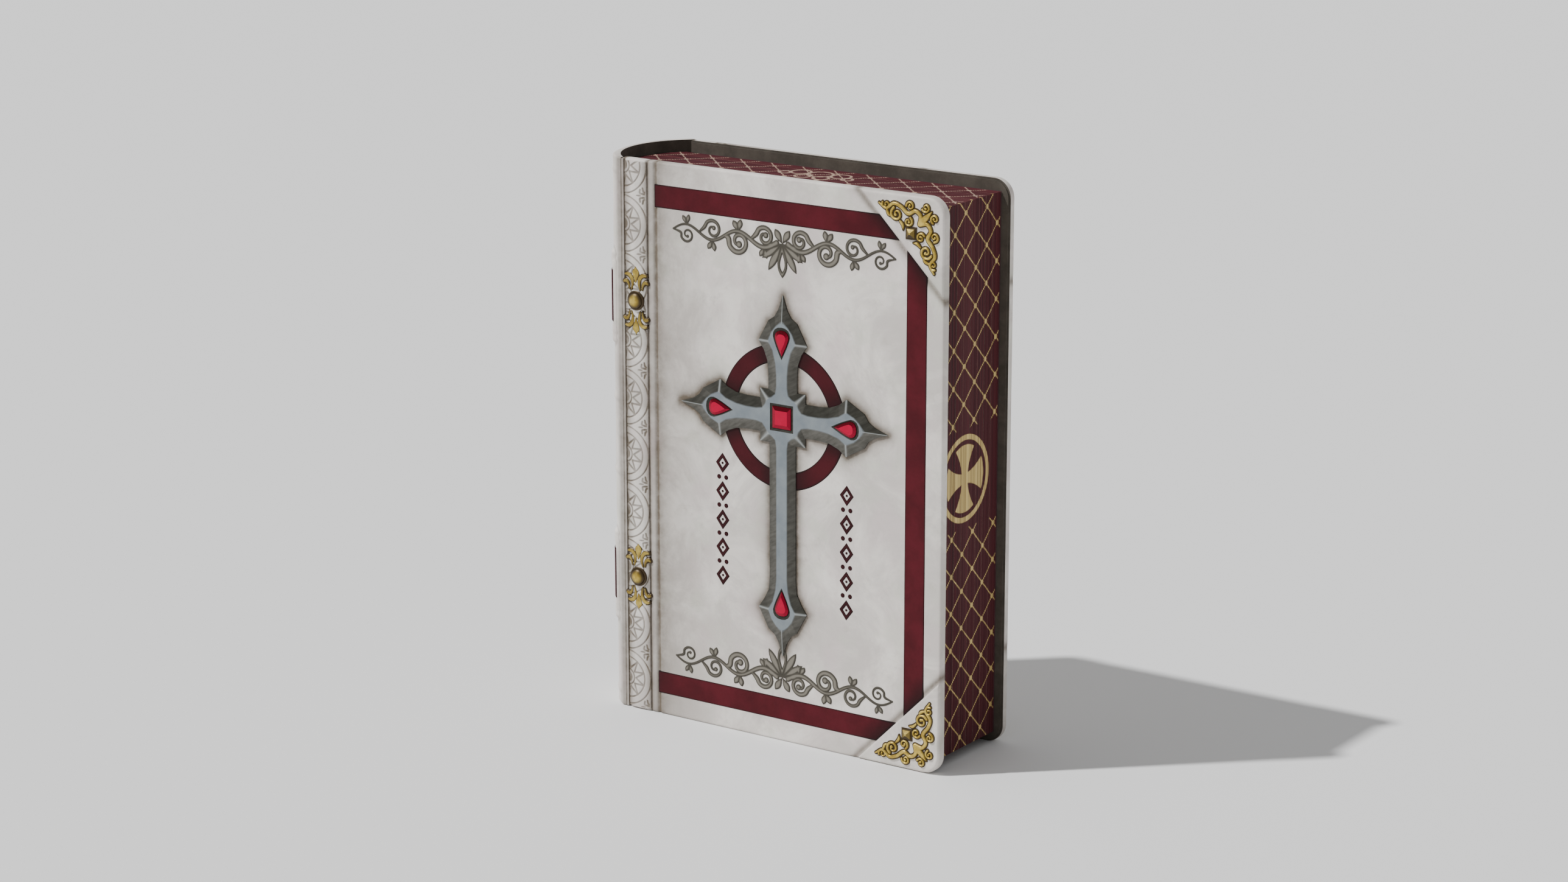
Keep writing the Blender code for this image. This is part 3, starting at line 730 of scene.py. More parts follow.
def roundel_carving(xs, zs):
    """Signed distance to everything cut into the band."""
    low, high = xs[0], xs[-1]
    canvas = Canvas((low, 0.0), (high, ROUNDEL_PITCH))
    x, z = spread(canvas.xs, canvas.zs)
    middle = ROUNDEL_PITCH / 2
    away = np.hypot(x - ROUNDEL_X, z - middle)
    field = np.abs(away - ROUNDEL_OUTER) - LINE_HALF
    field = np.minimum(field, np.abs(away - ROUNDEL_INNER) - LINE_HALF)
    field = np.minimum(field, away - ROUNDEL_HUB)
    star = star_outline(ROUNDEL_X, middle, STAR_RADII, math.pi / STAR_POINTS, STAR_POINTS)
    field = np.minimum(field, np.abs(polygon_distance(star, x, z)) - STAR_LINE)
    field = np.minimum(field, np.abs(away - STAR_RADII[1] + 0.9) - LINE_HALF)
    canvas.field = field
    for points in SPRIG:
        for turn in (1.0, -1.0):
            for shift in (0.0, ROUNDEL_PITCH):
                canvas.stroke([(px, shift + turn * pz, r) for px, pz, r in points])
    phase = np.mod(zs - (ROUNDEL_FIRST - middle), ROUNDEL_PITCH)
    row = np.clip((phase / CANVAS_STEP).astype(int), 0, len(canvas.zs) - 2)
    t = phase / CANVAS_STEP - row
    return canvas.field[:, row] * (1 - t) + canvas.field[:, row + 1] * t, canvas.xs


def make_roundel_band(label, front, looks):
    """Raised strip of tooled roundels beside the joint."""
    low_x = JOINT_VALLEY + 0.25
    high_x = BAND_VALLEY - 0.2
    zs = np.arange(0.7, HEIGHT - 0.7, CANVAS_STEP)
    carved, xs = roundel_carving(np.array([low_x, high_x]), zs)
    x, z = spread(xs, zs)
    middle = (low_x + high_x) / 2
    half = (high_x - low_x) / 2
    field = np.maximum(np.abs(x - middle) - half, np.abs(z - HEIGHT / 2) - (HEIGHT / 2 - 0.8))
    lookup = {}

    def carve_at(px, pz):
        if "value" not in lookup:
            i = np.clip(np.rint((px - xs[0]) / CANVAS_STEP).astype(int), 0, len(xs) - 1)
            j = np.clip(np.rint((pz - zs[0]) / CANVAS_STEP).astype(int), 0, len(zs) - 1)
            lookup["value"] = carved[i, j]
        return lookup["value"]

    def height(px, pz, depth):
        crown = 0.62 * (1.0 - ((px - middle) / (half + 0.1)) ** 2)
        cut = 0.20 * step_up(-carve_at(px, pz), -0.22, 0.12)
        return crown + 0.08 - cut

    def soil_and_shade(px, pz, depth):
        lines = 0.62 * step_up(-carve_at(px, pz), -0.26, 0.10)
        # Painted shade: the band darkens towards both edges, as if lit on its rounded crown.
        away = np.abs(px - middle - 0.3) / half
        edge = np.clip((away - 0.30) / 0.72, 0.0, 1.0) ** 1.5
        return np.clip(lines + 0.74 * edge + 0.06, 0.0, 0.92)

    band = relief(label + "_roundel_band", xs, zs, field, height, front, [looks["leather"]],
                  {"soil_and_shade": soil_and_shade}, sink=1.0, ground=outer_plane)
    tag(band, label + "_cover")


# ---------------------------------------------------------------- red inlays

INLAY_PROUD = 0.14
# Length and spacing of the fine grid along a straight rim and along a slanting cut.
INLAY_RIM = (1.6, 0.2)
INLAY_CUT = (14.0, 0.4)
RING_MIDDLE = 27.1
RING_HALF = 3.75


def band_outlines():
    """Three red bands, cut off along the corner guards."""
    low_in = BAND_MARGIN + BAND_WIDE
    high = HEIGHT - BAND_MARGIN
    high_in = HEIGHT - low_in
    diagonal = FORE_X + HEIGHT - CORNER_LEG
    low_diagonal = FORE_X - CORNER_LEG
    return {
        "top": [(BAND_START_X, high_in), (diagonal - high_in, high_in),
                (diagonal - high, high), (BAND_START_X, high)],
        "fore": [(BAND_IN_X, BAND_IN_X - low_diagonal), (BAND_OUT_X, BAND_OUT_X - low_diagonal),
                 (BAND_OUT_X, diagonal - BAND_OUT_X), (BAND_IN_X, diagonal - BAND_IN_X)],
        "bottom": [(BAND_START_X, BAND_MARGIN), (low_diagonal + BAND_MARGIN, BAND_MARGIN),
                   (low_diagonal + low_in, low_in), (BAND_START_X, low_in)],
    }


def inlay_scorch_and_shade(x, z, depth):
    """Dark scorched rim, with painted shade heavier towards the corner guards and by the groove."""
    rim = 0.95 * hump(depth, 0.0, 0.42)
    reach = np.maximum(corner_reach(x, z), 0.0)
    return np.clip(rim + 0.75 * hump(reach, 0.0, 5.5) + 0.35 * hump(x, BAND_START_X, 5.0), 0.0, 1.0)


def make_inlays(label, front, looks):
    """Red bands, and the red ring on the front cover."""
    for where, outline in band_outlines().items():
        low = np.min(outline, axis=0) - 0.5
        high = np.max(outline, axis=0) + 0.5
        upright = where == "fore"
        across = both_ends(low[0], high[0], INLAY_RIM, INLAY_RIM if upright else INLAY_CUT)
        along = both_ends(low[1], high[1], INLAY_CUT if upright else INLAY_RIM)
        xs = grid_lines(low[0], high[0], across, 0.9)
        zs = grid_lines(low[1], high[1], along, 0.9)
        x, z = spread(xs, zs)
        band = relief(label + "_inlay_" + where, xs, zs, polygon_distance(outline, x, z),
                      lambda px, pz, d: pillow(d, 0.5, INLAY_PROUD), front, [looks["red"]],
                      {"soil_and_shade": inlay_scorch_and_shade}, ground=outer_plane)
        tag(band, label + "_cover", [label + "_band_" + where])
    if not front:
        return
    canvas = Canvas((CROSS_X - 32, CROSS_Z - 32), (CROSS_X + 32, CROSS_Z + 32), 0.4)
    x, z = spread(canvas.xs, canvas.zs)
    away = np.hypot(x - CROSS_X, z - CROSS_Z)
    field = np.abs(away - RING_MIDDLE) - RING_HALF
    ring = relief("front_inlay_ring", canvas.xs, canvas.zs, field,
                  lambda px, pz, d: pillow(d, 0.5, INLAY_PROUD), True, [looks["red"]],
                  {"soil_and_shade": lambda px, pz, d: np.clip(0.9 * hump(d, 0.0, 0.42) + ring_shade(px, pz),
                                                     0.0, 1.0)})
    tag(ring, "front_cover", ["front_ring"])


def ring_shade(x, z):
    """Shade on the ring beside the cross."""
    away = polygon_distance(cross_outline(CROSS_BASE), x, z)
    return 0.30 + 0.45 * hump(np.maximum(away, 0.0), 0.0, 5.0)


# ---------------------------------------------------------------- cross

CROSS_WALL = 0.5
CROSS_TALL = 1.3
CROSS_GAP = 0.05
CROSS_BASE = [(11.2, 11.2), (9.2, 11.2), (7.2, 11.2), (7.1, 13.0), (7.1, 17.8), (7.6, 23.2),
              (9.3, 27.6), (12.0, 31.4), (7.1, 40.2), (4.1, 42.2), (2.1, 45.4), (0.0, 51.4)]
CROSS_CROWN = [(7.1, 7.1), (4.8, 8.1), (3.0, 9.7), (2.4, 12.8), (2.4, 17.8), (2.9, 22.8),
               (4.3, 28.1), (6.6, 31.7), (5.0, 35.4), (3.0, 37.9), (1.3, 39.2), (0.0, 39.8)]
RIDGES = (0, 7, 11)
SHAFT_START = 15.0
LONG_EXTRA = 51.4
LONG_NARROW = 0.92
SHAFT_HALF = 8.0
GEM_REACH = 31.4
GEM_LOW_REACH = 79.8
GEM_HALF = 4.7
SETTING = 1.1
DROP_RIM = 1.0 + SETTING / 4.5
FACET_ROWS = 8


def arm_side(profile, extra):
    """One side of an arm, drawn out beyond the start of its shaft; the long one is slimmer."""
    side_points = []
    for a, b in profile:
        slim = LONG_NARROW if extra and SHAFT_HALF > a > 6.0 and b < GEM_REACH - 4.0 else 1.0
        side_points.append((a * slim, b + extra if b > SHAFT_START else b))
    return side_points


def cross_outline(profile):
    """Whole cross outline, counter-clockwise, from one side of an arm."""
    points = []
    for direction, extra in (((0, 1), 0.0), ((-1, 0), 0.0), ((0, -1), LONG_EXTRA), ((1, 0), 0.0)):
        dx, dz = direction
        half = arm_side(profile, extra)
        right = [(dx * b + dz * a, dz * b - dx * a) for a, b in half]
        left = [(dx * b - dz * a, dz * b + dx * a) for a, b in reversed(half[1:-1])]
        points += right + left
    return [(CROSS_X + px, CROSS_Z + pz) for px, pz in points]


def drop_outline(centre, direction, scale=1.0):
    """Teardrop pointing towards the middle of the cross."""
    half = [(0.0, -5.6), (1.1, -3.5), (2.2, -1.2), (3.0, 0.8), (3.45, 2.2), (3.3, 3.5),
            (2.7, 4.5), (1.5, 5.2), (0.0, 5.4)]
    shape = half + [(-a, b) for a, b in reversed(half[1:-1])]
    dx, dz = direction
    return [(centre[0] + scale * (dx * b + dz * a), centre[1] + scale * (dz * b - dx * a))
            for a, b in shape]


def square_outline(centre, half):
    """Upright square."""
    x, z = centre
    return [(x - half, z - half), (x + half, z - half), (x + half, z + half), (x - half, z + half)]


def gem_centres():
    """Centre and pointing direction of each teardrop by node."""
    return {
        "front_gem_top": ((CROSS_X, CROSS_Z + GEM_REACH), (0, 1)),
        "front_gem_left": ((CROSS_X - GEM_REACH, CROSS_Z), (-1, 0)),
        "front_gem_right": ((CROSS_X + GEM_REACH, CROSS_Z), (1, 0)),
        "front_gem_bottom": ((CROSS_X, CROSS_Z - GEM_LOW_REACH), (0, -1)),
    }


def shrink(outline, factor):
    """Outline scaled about its middle."""
    middle = np.mean(outline, axis=0)
    return [tuple(middle + (np.array(p) - middle) * factor) for p in outline]


def facing(a, b):
    """How far the outer side of an edge faces right and up."""
    dx, dz = b[0] - a[0], b[1] - a[1]
    length = math.hypot(dx, dz)
    return dz / length, -dx / length


def facet_tone(a, b):
    """Painted shade of a facet: deepest where it faces up."""
    out_x, out_z = facing(a, b)
    return float(np.clip(0.62 - 0.62 * out_z - 0.20 * out_x, 0.0, 1.0))


def make_cross(looks):
    """Chiselled cross: a flat crown, falling facets and pale arrises."""
    base = cross_outline(CROSS_BASE)
    crown = cross_outline(CROSS_CROWN)
    count = len(base)
    span = len(CROSS_BASE)
    ridge_at = set()
    for arm in range(4):
        start = arm * (2 * span - 2)
        for k in RIDGES:
            ridge_at.add((start + k) % count)
            if k:
                ridge_at.add((start + 2 * span - 2 - k) % count)
    points, facet, ridge, tones, columns = [], [], [], [], []
    for k in range(count):
        a0, a1 = np.array(base[k]), np.array(base[(k + 1) % count])
        b0, b1 = np.array(crown[k]), np.array(crown[(k + 1) % count])
        steps = max(2, int(np.hypot(*(a1 - a0)) / 0.45))
        for s in range(steps):
            t = s / steps
            low, high = a0 + (a1 - a0) * t, b0 + (b1 - b0) * t
            near = FAR
            for end, offset in ((k, t), ((k + 1) % count, 1 - t)):
                if end in ridge_at:
                    near = min(near, offset * np.hypot(*(a1 - a0)))
            columns.append((low, high, near, facet_tone(a0, a1)))
    # Facet tones carry painted shade, halved on the base row and deepening towards the foot of each facet.
    for low, high, near, tone in columns:
        points.append((low[0], 0.1, low[1]))
        facet.append(1.0)
        ridge.append(0.0)
        tones.append(0.5 * tone)
        for r in range(FACET_ROWS + 1):
            v = r / FACET_ROWS
            spot = low + (high - low) * v
            rise = CROSS_GAP + CROSS_WALL + (CROSS_TALL - CROSS_WALL) * v
            points.append((spot[0], -rise, spot[1]))
            facet.append(1.0 if r < FACET_ROWS else 0.25)
            ridge.append(0.9 * float(hump(near * (1.0 - 0.45 * v), 0.0, 0.42)))
            tones.append(tone * (0.72 + 0.28 * min(1.0, v * 1.6)))
    faces = [(a, d, c, b) for a, b, c, d in grid_faces(len(columns), FACET_ROWS + 2, wrap=True)]
    facets = make_piece("front_cross_facets", points, faces, [looks["steel"]],
                        {"facet": facet, "ridge": ridge, "tone": tones}, sharp=12.0)
    tag(facets, "front_cover", ["front_cross"])
    top = -(CROSS_GAP + CROSS_TALL)
    mesh = bpy.data.meshes.new("front_cross_crown")
    work = bmesh.new()
    loops = [crown, square_outline((CROSS_X, CROSS_Z), GEM_HALF + SETTING)]
    for centre, direction in gem_centres().values():
        loops.append(drop_outline(centre, direction, DROP_RIM))
    for loop in loops:
        verts = [work.verts.new(place((px, top, pz))) for px, pz in loop]
        for k, vert in enumerate(verts):
            work.edges.new((vert, verts[(k + 1) % len(verts)]))
    bmesh.ops.triangle_fill(work, edges=work.edges[:], use_beauty=True,
                            normal=Vector((0.0, -1.0, 0.0)))
    work.to_mesh(mesh)
    work.free()
    for key in ("facet", "ridge", "tone"):
        mesh.attributes.new(key, "FLOAT", "POINT")
    mesh.materials.append(looks["steel"])
    tag(add_object("front_cross_crown", mesh), "front_cover")


def nested(name, rings, looks, paint_key, tones, close=True):
    """Stack of matched outlines, one tone per band of faces."""
    points, faces, tone = [], [], []
    count = len(rings[0][0])
    for band, ((outer, low), (inner, high)) in enumerate(zip(rings, rings[1:])):
        for k in range(count):
            m = (k + 1) % count
            corner = len(points)
            points += [(outer[k][0], low, outer[k][1]), (outer[m][0], low, outer[m][1]),
                       (inner[m][0], high, inner[m][1]), (inner[k][0], high, inner[k][1])]
            faces.append((corner, corner + 1, corner + 2, corner + 3))
            shade = tones[band]
            value = shade(outer[k], outer[m]) if callable(shade) else shade
            tone += [value] * 4
    if close:
        corner = len(points)
        last, level = rings[-1]
        points += [(px, level, pz) for px, pz in last]
        faces.append(tuple(range(corner, corner + count)))
        tone += [tones[-1]] * count
    return make_piece(name, points, faces, looks, {paint_key: tone})


def gem_shade(a, b):
    """Painted shade of a facet by the way its edge faces: dark above, middling to the sides and below."""
    return float(np.clip(0.46 - 0.42 * facing(a, b)[1], 0.02, 0.62))


def make_gems(looks):
    """Five faceted stones in dark settings sunk in the crown."""
    top = -(CROSS_GAP + CROSS_TALL)
    shapes = {"front_gem_centre": (square_outline((CROSS_X, CROSS_Z), GEM_HALF),
                                   square_outline((CROSS_X, CROSS_Z), GEM_HALF + SETTING))}
    for node, (centre, direction) in gem_centres().items():
        shapes[node] = (drop_outline(centre, direction),
                        drop_outline(centre, direction, DROP_RIM))
    for node, (edge, rim) in shapes.items():
        setting = nested(node + "_setting", [(rim, top), (edge, top + 0.35)], [looks["steel"]],
                         "facet", [1.0], close=False)
        for key in ("ridge", "tone"):
            setting.data.attributes.new(key, "FLOAT", "POINT")
        tag(setting, "front_cover")
        table = shrink(edge, 0.64)
        gem = nested(node + "_stone", [(edge, top + 0.35), (shrink(edge, 0.97), top + 0.05),
                                       (table, top - 0.45)], [looks["gem"]], "tone",
                     [0.0, gem_shade, 0.95])
        tag(gem, "front_cover", [node])


# ---------------------------------------------------------------- printed and tooled ornament

# A running scroll: one wave per pair of bays, with a curl in each bay. BAYS holds the reach and
# the half width of each curl. FAN holds the spread in degrees, length and width of its leaves.
STEM_START = 10.5
STEM_Z = 213.0
STEM_WAVE = 2.6
STEM_HALF = 0.42
STEM_SWELL = 0.20
CURL_START = 170.0
CURL_SWEEP = 470.0
LEAF_LEANS = (-34.0, 12.0)
SCROLL_EDGE = 7.0
SCROLL_LOW = 195.6
SCROLL_HIGH = 222.0
BAY = 13.0
BAYS = [(3.5, 0.60), (4.4, 0.85), (5.3, 1.30), (4.4, 1.15)]
FAN = [(0.0, 14.2, 2.5), (31.0, 13.6, 1.7), (56.0, 12.2, 1.5), (80.0, 8.2, 1.1)]
FAN_EAR = (148.0, 7.0, 1.6)
FAN_Z = 212.8
ORNAMENT_MIDDLE = 65.3
ORNAMENT_FLIP = 240.8
TOOLING_RISE = 0.28
MARK_COLUMNS = (("left", 35.0, 67.5), ("right", 97.2, 63.0))
MARK_COUNT = 5
MARK_PITCH = 12.2


def draw_scroll(canvas, across, up):
    """One half of the running scroll; across and up carry a point to its place."""
    stem = []
    for x in np.arange(STEM_START, STEM_START + BAY * len(BAYS) + 0.1, BAY / 6):
        phase = (x - STEM_START) / BAY
        half = STEM_HALF + STEM_SWELL * phase
        stem.append((across(x), up(STEM_Z + STEM_WAVE * math.sin(math.pi * phase)), half))
    canvas.stroke(stem)
    for k, (reach, thick) in enumerate(BAYS):
        crest = 1.0 if k % 2 == 0 else -1.0
        x = STEM_START + BAY * (k + 0.5) + 0.6
        z = STEM_Z - 1.7 * crest
        points = [(STEM_START + BAY * k, STEM_Z, 0.5 * thick)]
        points += curl(x, z, reach, CURL_START, CURL_SWEEP * crest, thick)
        canvas.stroke([(across(px), up(pz), half) for px, pz, half in points])
        for lean in LEAF_LEANS:
            shape = leaf(x, STEM_Z + STEM_WAVE * crest, crest * (90.0 - lean), 2.6 + reach / 2,
                         0.35 + reach / 5)
            canvas.outline([(across(px), up(pz)) for px, pz in shape])


def make_ornaments(looks):
    """Running scrolls with a hanging fan at the head and tail of the front panel."""
    for where, flip in (("head", False), ("tail", True)):
        up = (lambda z: ORNAMENT_FLIP - z) if flip else (lambda z: z)
        low, high = sorted((up(SCROLL_LOW), up(SCROLL_HIGH)))
        canvas = Canvas((SCROLL_EDGE, low), (2 * ORNAMENT_MIDDLE - SCROLL_EDGE, high))
        for mirror in (False, True):
            across = (lambda x: 2 * ORNAMENT_MIDDLE - x) if mirror else (lambda x: x)
            draw_scroll(canvas, across, up)
            for open_by, length, width in FAN + [FAN_EAR]:
                shape = leaf(ORNAMENT_MIDDLE, FAN_Z, -90.0 - open_by, length, width)
                canvas.outline([(across(px), up(pz)) for px, pz in shape])
        eye = leaf(ORNAMENT_MIDDLE, FAN_Z - 4.0, -90.0, 7.6, 1.15)
        canvas.outline([(px, up(pz)) for px, pz in eye], cut=True)
        piece = relief("front_tooling_" + where, canvas.xs, canvas.zs, canvas.field,
                       lambda px, pz, d: 0.05 + pillow(d, 0.7, TOOLING_RISE - 0.05), True,
                       [looks["ornament"]],
                       {"crown": lambda px, pz, d: step_up(d, 0.34, 1.0)})
        tag(piece, "front_cover")


def make_marks(looks):
    """Two columns of plain lozenges and dots beside the shaft of the cross."""
    for where, x, z in MARK_COLUMNS:
        canvas = Canvas((x - 4.5, z - 5.0), (x + 4.5, z + 56.0))
        for k in range(MARK_COUNT):
            mid = z + MARK_PITCH * k
            for wide, tall, cut in ((3.4, 4.4, False), (1.6, 2.1, True)):
                lozenge = [(x, mid - tall), (x + wide, mid), (x, mid + tall), (x - wide, mid)]
                canvas.outline(lozenge, cut)
            canvas.disc(x, mid, 0.55)
            if k < MARK_COUNT - 1:
                for aside in (-1.8, 1.8):
                    canvas.disc(x + aside, mid + MARK_PITCH / 2, 1.0)
        piece = relief("front_marks_" + where, canvas.xs, canvas.zs, canvas.field,
                       lambda px, pz, d: 0.04 + pillow(d, 0.5, 0.12), True, [looks["red"]],
                       {"soil_and_shade": lambda px, pz, d: np.clip(0.55 + 0.4 * hump(d, 0.0, 0.4), 0, 1)})
        tag(piece, "front_cover")


# ---------------------------------------------------------------- corner guards

PLATE_RISE = 0.55
FILIGREE_RISE = 0.75
FILIGREE_RIM = 0.48
STUD_AT = 15.4
GUARD_STEP = 0.4
GUARD_SPAN = 41.0
# Half width and height above the filigree's foot of each edge of the stud.
STUD_STEPS = ((2.65, -0.1), (2.65, 0.25), (2.2, 0.45), (1.95, 0.45), (1.75, 0.9), (0.35, 1.75))
# One arm of the bottom guard, as x and height above the tail. The other arm mirrors it.
ARM_STEM = [(112.6, 4.6, 0.35), (116.0, 6.4, 0.6), (119.4, 4.2, 0.7), (123.0, 5.2, 0.75),
            (126.4, 7.6, 0.8), (129.6, 6.2, 0.75), (132.2, 8.0, 0.8), (131.8, 11.4, 0.9)]
# x, height, reach, start and sweep in degrees, and half width of each curl.
ARM_CURLS = [(116.0, 4.9, 1.9, 200.0, -420.0, 0.45), (120.9, 8.3, 2.8, 240.0, -450.0, 0.6),
             (127.3, 4.5, 1.9, 180.0, 430.0, 0.5), (126.4, 10.9, 2.0, 300.0, 430.0, 0.5),
             (134.6, 4.4, 1.9, 150.0, -420.0, 0.5)]
ARM_LEAVES = [[(116.2, 6.6, 0.4), (117.0, 8.6, 0.6), (118.2, 9.6, 0.1)],
              [(122.6, 11.0, 0.4), (123.9, 12.6, 0.6), (124.0, 14.4, 0.1)],
              [(131.8, 11.4, 0.6), (133.4, 9.8, 1.3), (135.6, 7.6, 0.9), (137.4, 5.8, 0.15)]]
EYE_SHARE = 0.72


def corner_spot(top, away, down):
    """Point measured from a fore-edge corner along its two edges."""
    return (FORE_X - away, HEIGHT - down if top else down)


def arm_spot(top, swap, x, z):
    """Point of the bottom guard's lower arm carried to either arm of either guard."""
    if swap:
        x, z = FORE_X - z, FORE_X - x
    return (x, HEIGHT - z if top else z)


def plate_distance(x, z, top):
    """Signed distance to a corner guard's outline."""
    down = HEIGHT - z if top else z
    diagonal = ((FORE_X - x) + down - CORNER_LEG) / math.sqrt(2.0)
    return np.maximum(diagonal, cover_distance(x, z) + 0.35)


def make_corner(label, front, top, looks):
    """One corner guard: leather-coloured plate, gilt scrollwork and a stud."""
    where = "top" if top else "bottom"
    xs = grid_lines(FORE_X - CORNER_LEG - 0.5, FORE_X + 0.2, [], GUARD_STEP)
    low_z, high_z = (HEIGHT - GUARD_SPAN, HEIGHT) if top else (0.0, GUARD_SPAN)
    zs = np.arange(low_z, high_z + 0.2, GUARD_STEP)
    x, z = spread(xs, zs)

    def plate_roll_shade(px, pz, depth):
        # Painted shade along the guard's rolled diagonal edge, over a slight even darkening.
        diagonal = -corner_reach(px, pz)
        return np.clip(0.16 * hump(diagonal, 0.0, 1.1) + 0.05, 0.0, 1.0)

    plate = relief(label + "_guard_" + where, xs, zs, plate_distance(x, z, top),
                   lambda px, pz, d: pillow(d, 1.2, PLATE_RISE), front, [looks["leather"]],
                   {"soil_and_shade": plate_roll_shade}, ground=edge_depth)
    tag(plate, label + "_cover", [label + "_corner_plate_" + where])
    canvas = Canvas(corner_low(top), corner_high(top))
    gold = Canvas(corner_low(top), corner_high(top))
    strokes = [ARM_STEM] + ARM_LEAVES + [curl(*numbers) for numbers in ARM_CURLS]
    for points in strokes:
        for swap in (False, True):
            gold.stroke([(*arm_spot(top, swap, px, pz), radius) for px, pz, radius in points])
    canvas.field = gold.field - FILIGREE_RIM
    for px, pz, reach, *_ in ARM_CURLS:
        for swap in (False, True):
            canvas.disc(*arm_spot(top, swap, px, pz), EYE_SHARE * reach)
    level = PLATE_RISE - 0.05

    def bare(px, pz):
        i = np.clip((px - gold.xs[0]) / CANVAS_STEP, 0, len(gold.xs) - 1.001)
        j = np.clip((pz - gold.zs[0]) / CANVAS_STEP, 0, len(gold.zs) - 1.001)
        i0, j0 = i.astype(int), j.astype(int)
        u, v = i - i0, j - j0
        field = gold.field
        return -(field[i0, j0] * (1 - u) * (1 - v) + field[i0 + 1, j0] * u * (1 - v)
                 + field[i0, j0 + 1] * (1 - u) * v + field[i0 + 1, j0 + 1] * u * v)

    scrolls = relief(label + "_filigree_" + where, canvas.xs, canvas.zs, canvas.field,
                     lambda px, pz, d: level + 0.12 + pillow(np.clip(bare(px, pz), 0, 1), 0.5,
                                                             FILIGREE_RISE),
                     front, [looks["gold"]],
                     {"crown": lambda px, pz, d: step_up(bare(px, pz), -0.06, 0.16)},
                     ground=edge_depth)
    tag(scrolls, label + "_cover", [label + "_corner_filigree_" + where])
    centre = corner_spot(top, STUD_AT, STUD_AT)
    rings = [(square_outline(centre, half), side(front, -(level + rise))) for half, rise in STUD_STEPS]
    # Tones: dark walls, painted light and shade on the pyramid faces and a painted glint on the small top.
    stud = nested(label + "_stud_" + where, rings, [looks["gold"]], "crown",
                  [0.0, 0.0, 0.0, 0.15, stud_shade, 0.8])
    tag(stud, label + "_cover", [label + "_corner_stud_" + where])


def stud_shade(a, b):
    """Painted light and shade on a pyramid face: bright above, darker below."""
    return float(np.clip(0.30 + 0.30 * facing(a, b)[1], 0.0, 1.0))


def corner_low(top):
    """Lower left corner of the filigree's field."""
    return (FORE_X - 34.0, HEIGHT - 35.0 if top else 0.4)


def corner_high(top):
    """Upper right corner of the filigree's field."""
    return (FORE_X - 0.4, HEIGHT - 0.4 if top else 35.0)


# ---------------------------------------------------------------- bosses and sprays

BOSS_X = -8.8
BOSS_ZS = {"upper": 180.1, "lower": 59.6}
BOSS_RADIUS = 4.2
BOSS_RISE = 2.9
SPRAY_RIM = 0.28
DOME_SIDES = 48
PETALS = [
    [(-2.2, 4.8, 0.62), (-1.65, 6.9, 0.88), (-1.85, 9.0, 1.08), (-2.9, 10.5, 1.12),
     (-4.2, 11.0, 0.95), (-5.3, 10.9, 0.66)],
    [(-3.3, 4.9, 0.60), (-3.6, 6.7, 0.80), (-4.5, 7.9, 0.98), (-5.5, 8.0, 0.92), (-6.0, 7.7, 0.80)],
]
BUD = [(0.0, 15.0), (0.8, 13.9), (1.6, 13.1), (2.0, 12.2), (1.8, 10.9), (1.3, 9.8), (0.6, 7.6),
       (0.0, 7.2)]


def spray_tone(depth, reach):
    """Dark outline, painted shade dulling the roots beside the boss, and bright leaf tips."""
    tip = np.clip((reach - 5.0) / 6.0, 0.0, 1.0)
    return step_up(depth - SPRAY_RIM, 0.12, 0.62) * (0.34 + 0.50 * tip)


def make_bosses(looks):
    """Domed gold bosses between leafy sprays."""
    for where, z in BOSS_ZS.items():
        profile = [(BOSS_RADIUS, -0.2, 0.0), (BOSS_RADIUS, 0.9, 0.0), (BOSS_RADIUS - 0.25, 1.15, 0.0),
                   (BOSS_RADIUS - 0.7, 1.2, 0.02)]
        dome = BOSS_RADIUS - 0.8
        for k in range(13):
            angle = math.radians(90.0 * k / 12)
            radius = dome * math.cos(angle)
            rise = 1.1 + (BOSS_RISE - 1.1) * math.sin(angle)
            profile.append((max(radius, 0.02), rise, float(step_up(dome - radius, 0.2, 2.4))))
        count = DOME_SIDES
        points, faces, crown = [], [], []
        for radius, rise, tone in profile:
            for k in range(count):
                angle = 2 * math.pi * k / count
                points.append((BOSS_X + radius * math.cos(angle), -rise, z + radius * math.sin(angle)))
                crown.append(tone)
        for r in range(len(profile) - 1):
            for k in range(count):
                m = (k + 1) % count
                faces.append((r * count + k, r * count + m, (r + 1) * count + m, (r + 1) * count + k))
        faces.append(tuple((len(profile) - 1) * count + k for k in range(count)))
        boss = make_piece("front_dome_" + where, points, faces, [looks["gold"]], {"crown": crown},
                          sharp=40.0)
        tag(boss, "front_cover", ["front_boss_" + where])
        for growth, turn in (("above", 1.0), ("below", -1.0)):
            low, high = sorted((z + turn * 4.0, z + turn * 15.2))
            canvas = Canvas((BOSS_X - 7.2, low), (BOSS_X + 7.2, high), 0.16)
            for mirror in (1.0, -1.0):
                for points in PETALS:
                    canvas.stroke([(BOSS_X + mirror * dx, z + turn * dz, r) for dx, dz, r in points])
            bud = BUD + [(-dx, dz) for dx, dz in reversed(BUD[1:-1])]
            canvas.outline([(BOSS_X + dx, z + turn * dz) for dx, dz in bud])
            spray = relief("front_leaves_%s_%s" % (where, growth), canvas.xs, canvas.zs,
                           canvas.field - SPRAY_RIM,
                           lambda px, pz, d: 0.3 + pillow(np.maximum(d - SPRAY_RIM, 0.0), 0.75, 0.55),
                           True, [looks["gold"]],
                           {"crown": lambda px, pz, d: spray_tone(d, np.abs(pz - z))}, sink=0.8,
                           ground=outer_plane)
            tag(spray, "front_cover", ["front_spray_%s_%s" % (where, growth)])


# ---------------------------------------------------------------- pages

SECTION_COUNT = 8
LEAF_PITCH = 0.21
BLOCK_FRAY = 0.10
FOLD_TAPER = 9.0
CUSP_DROP = 1.3
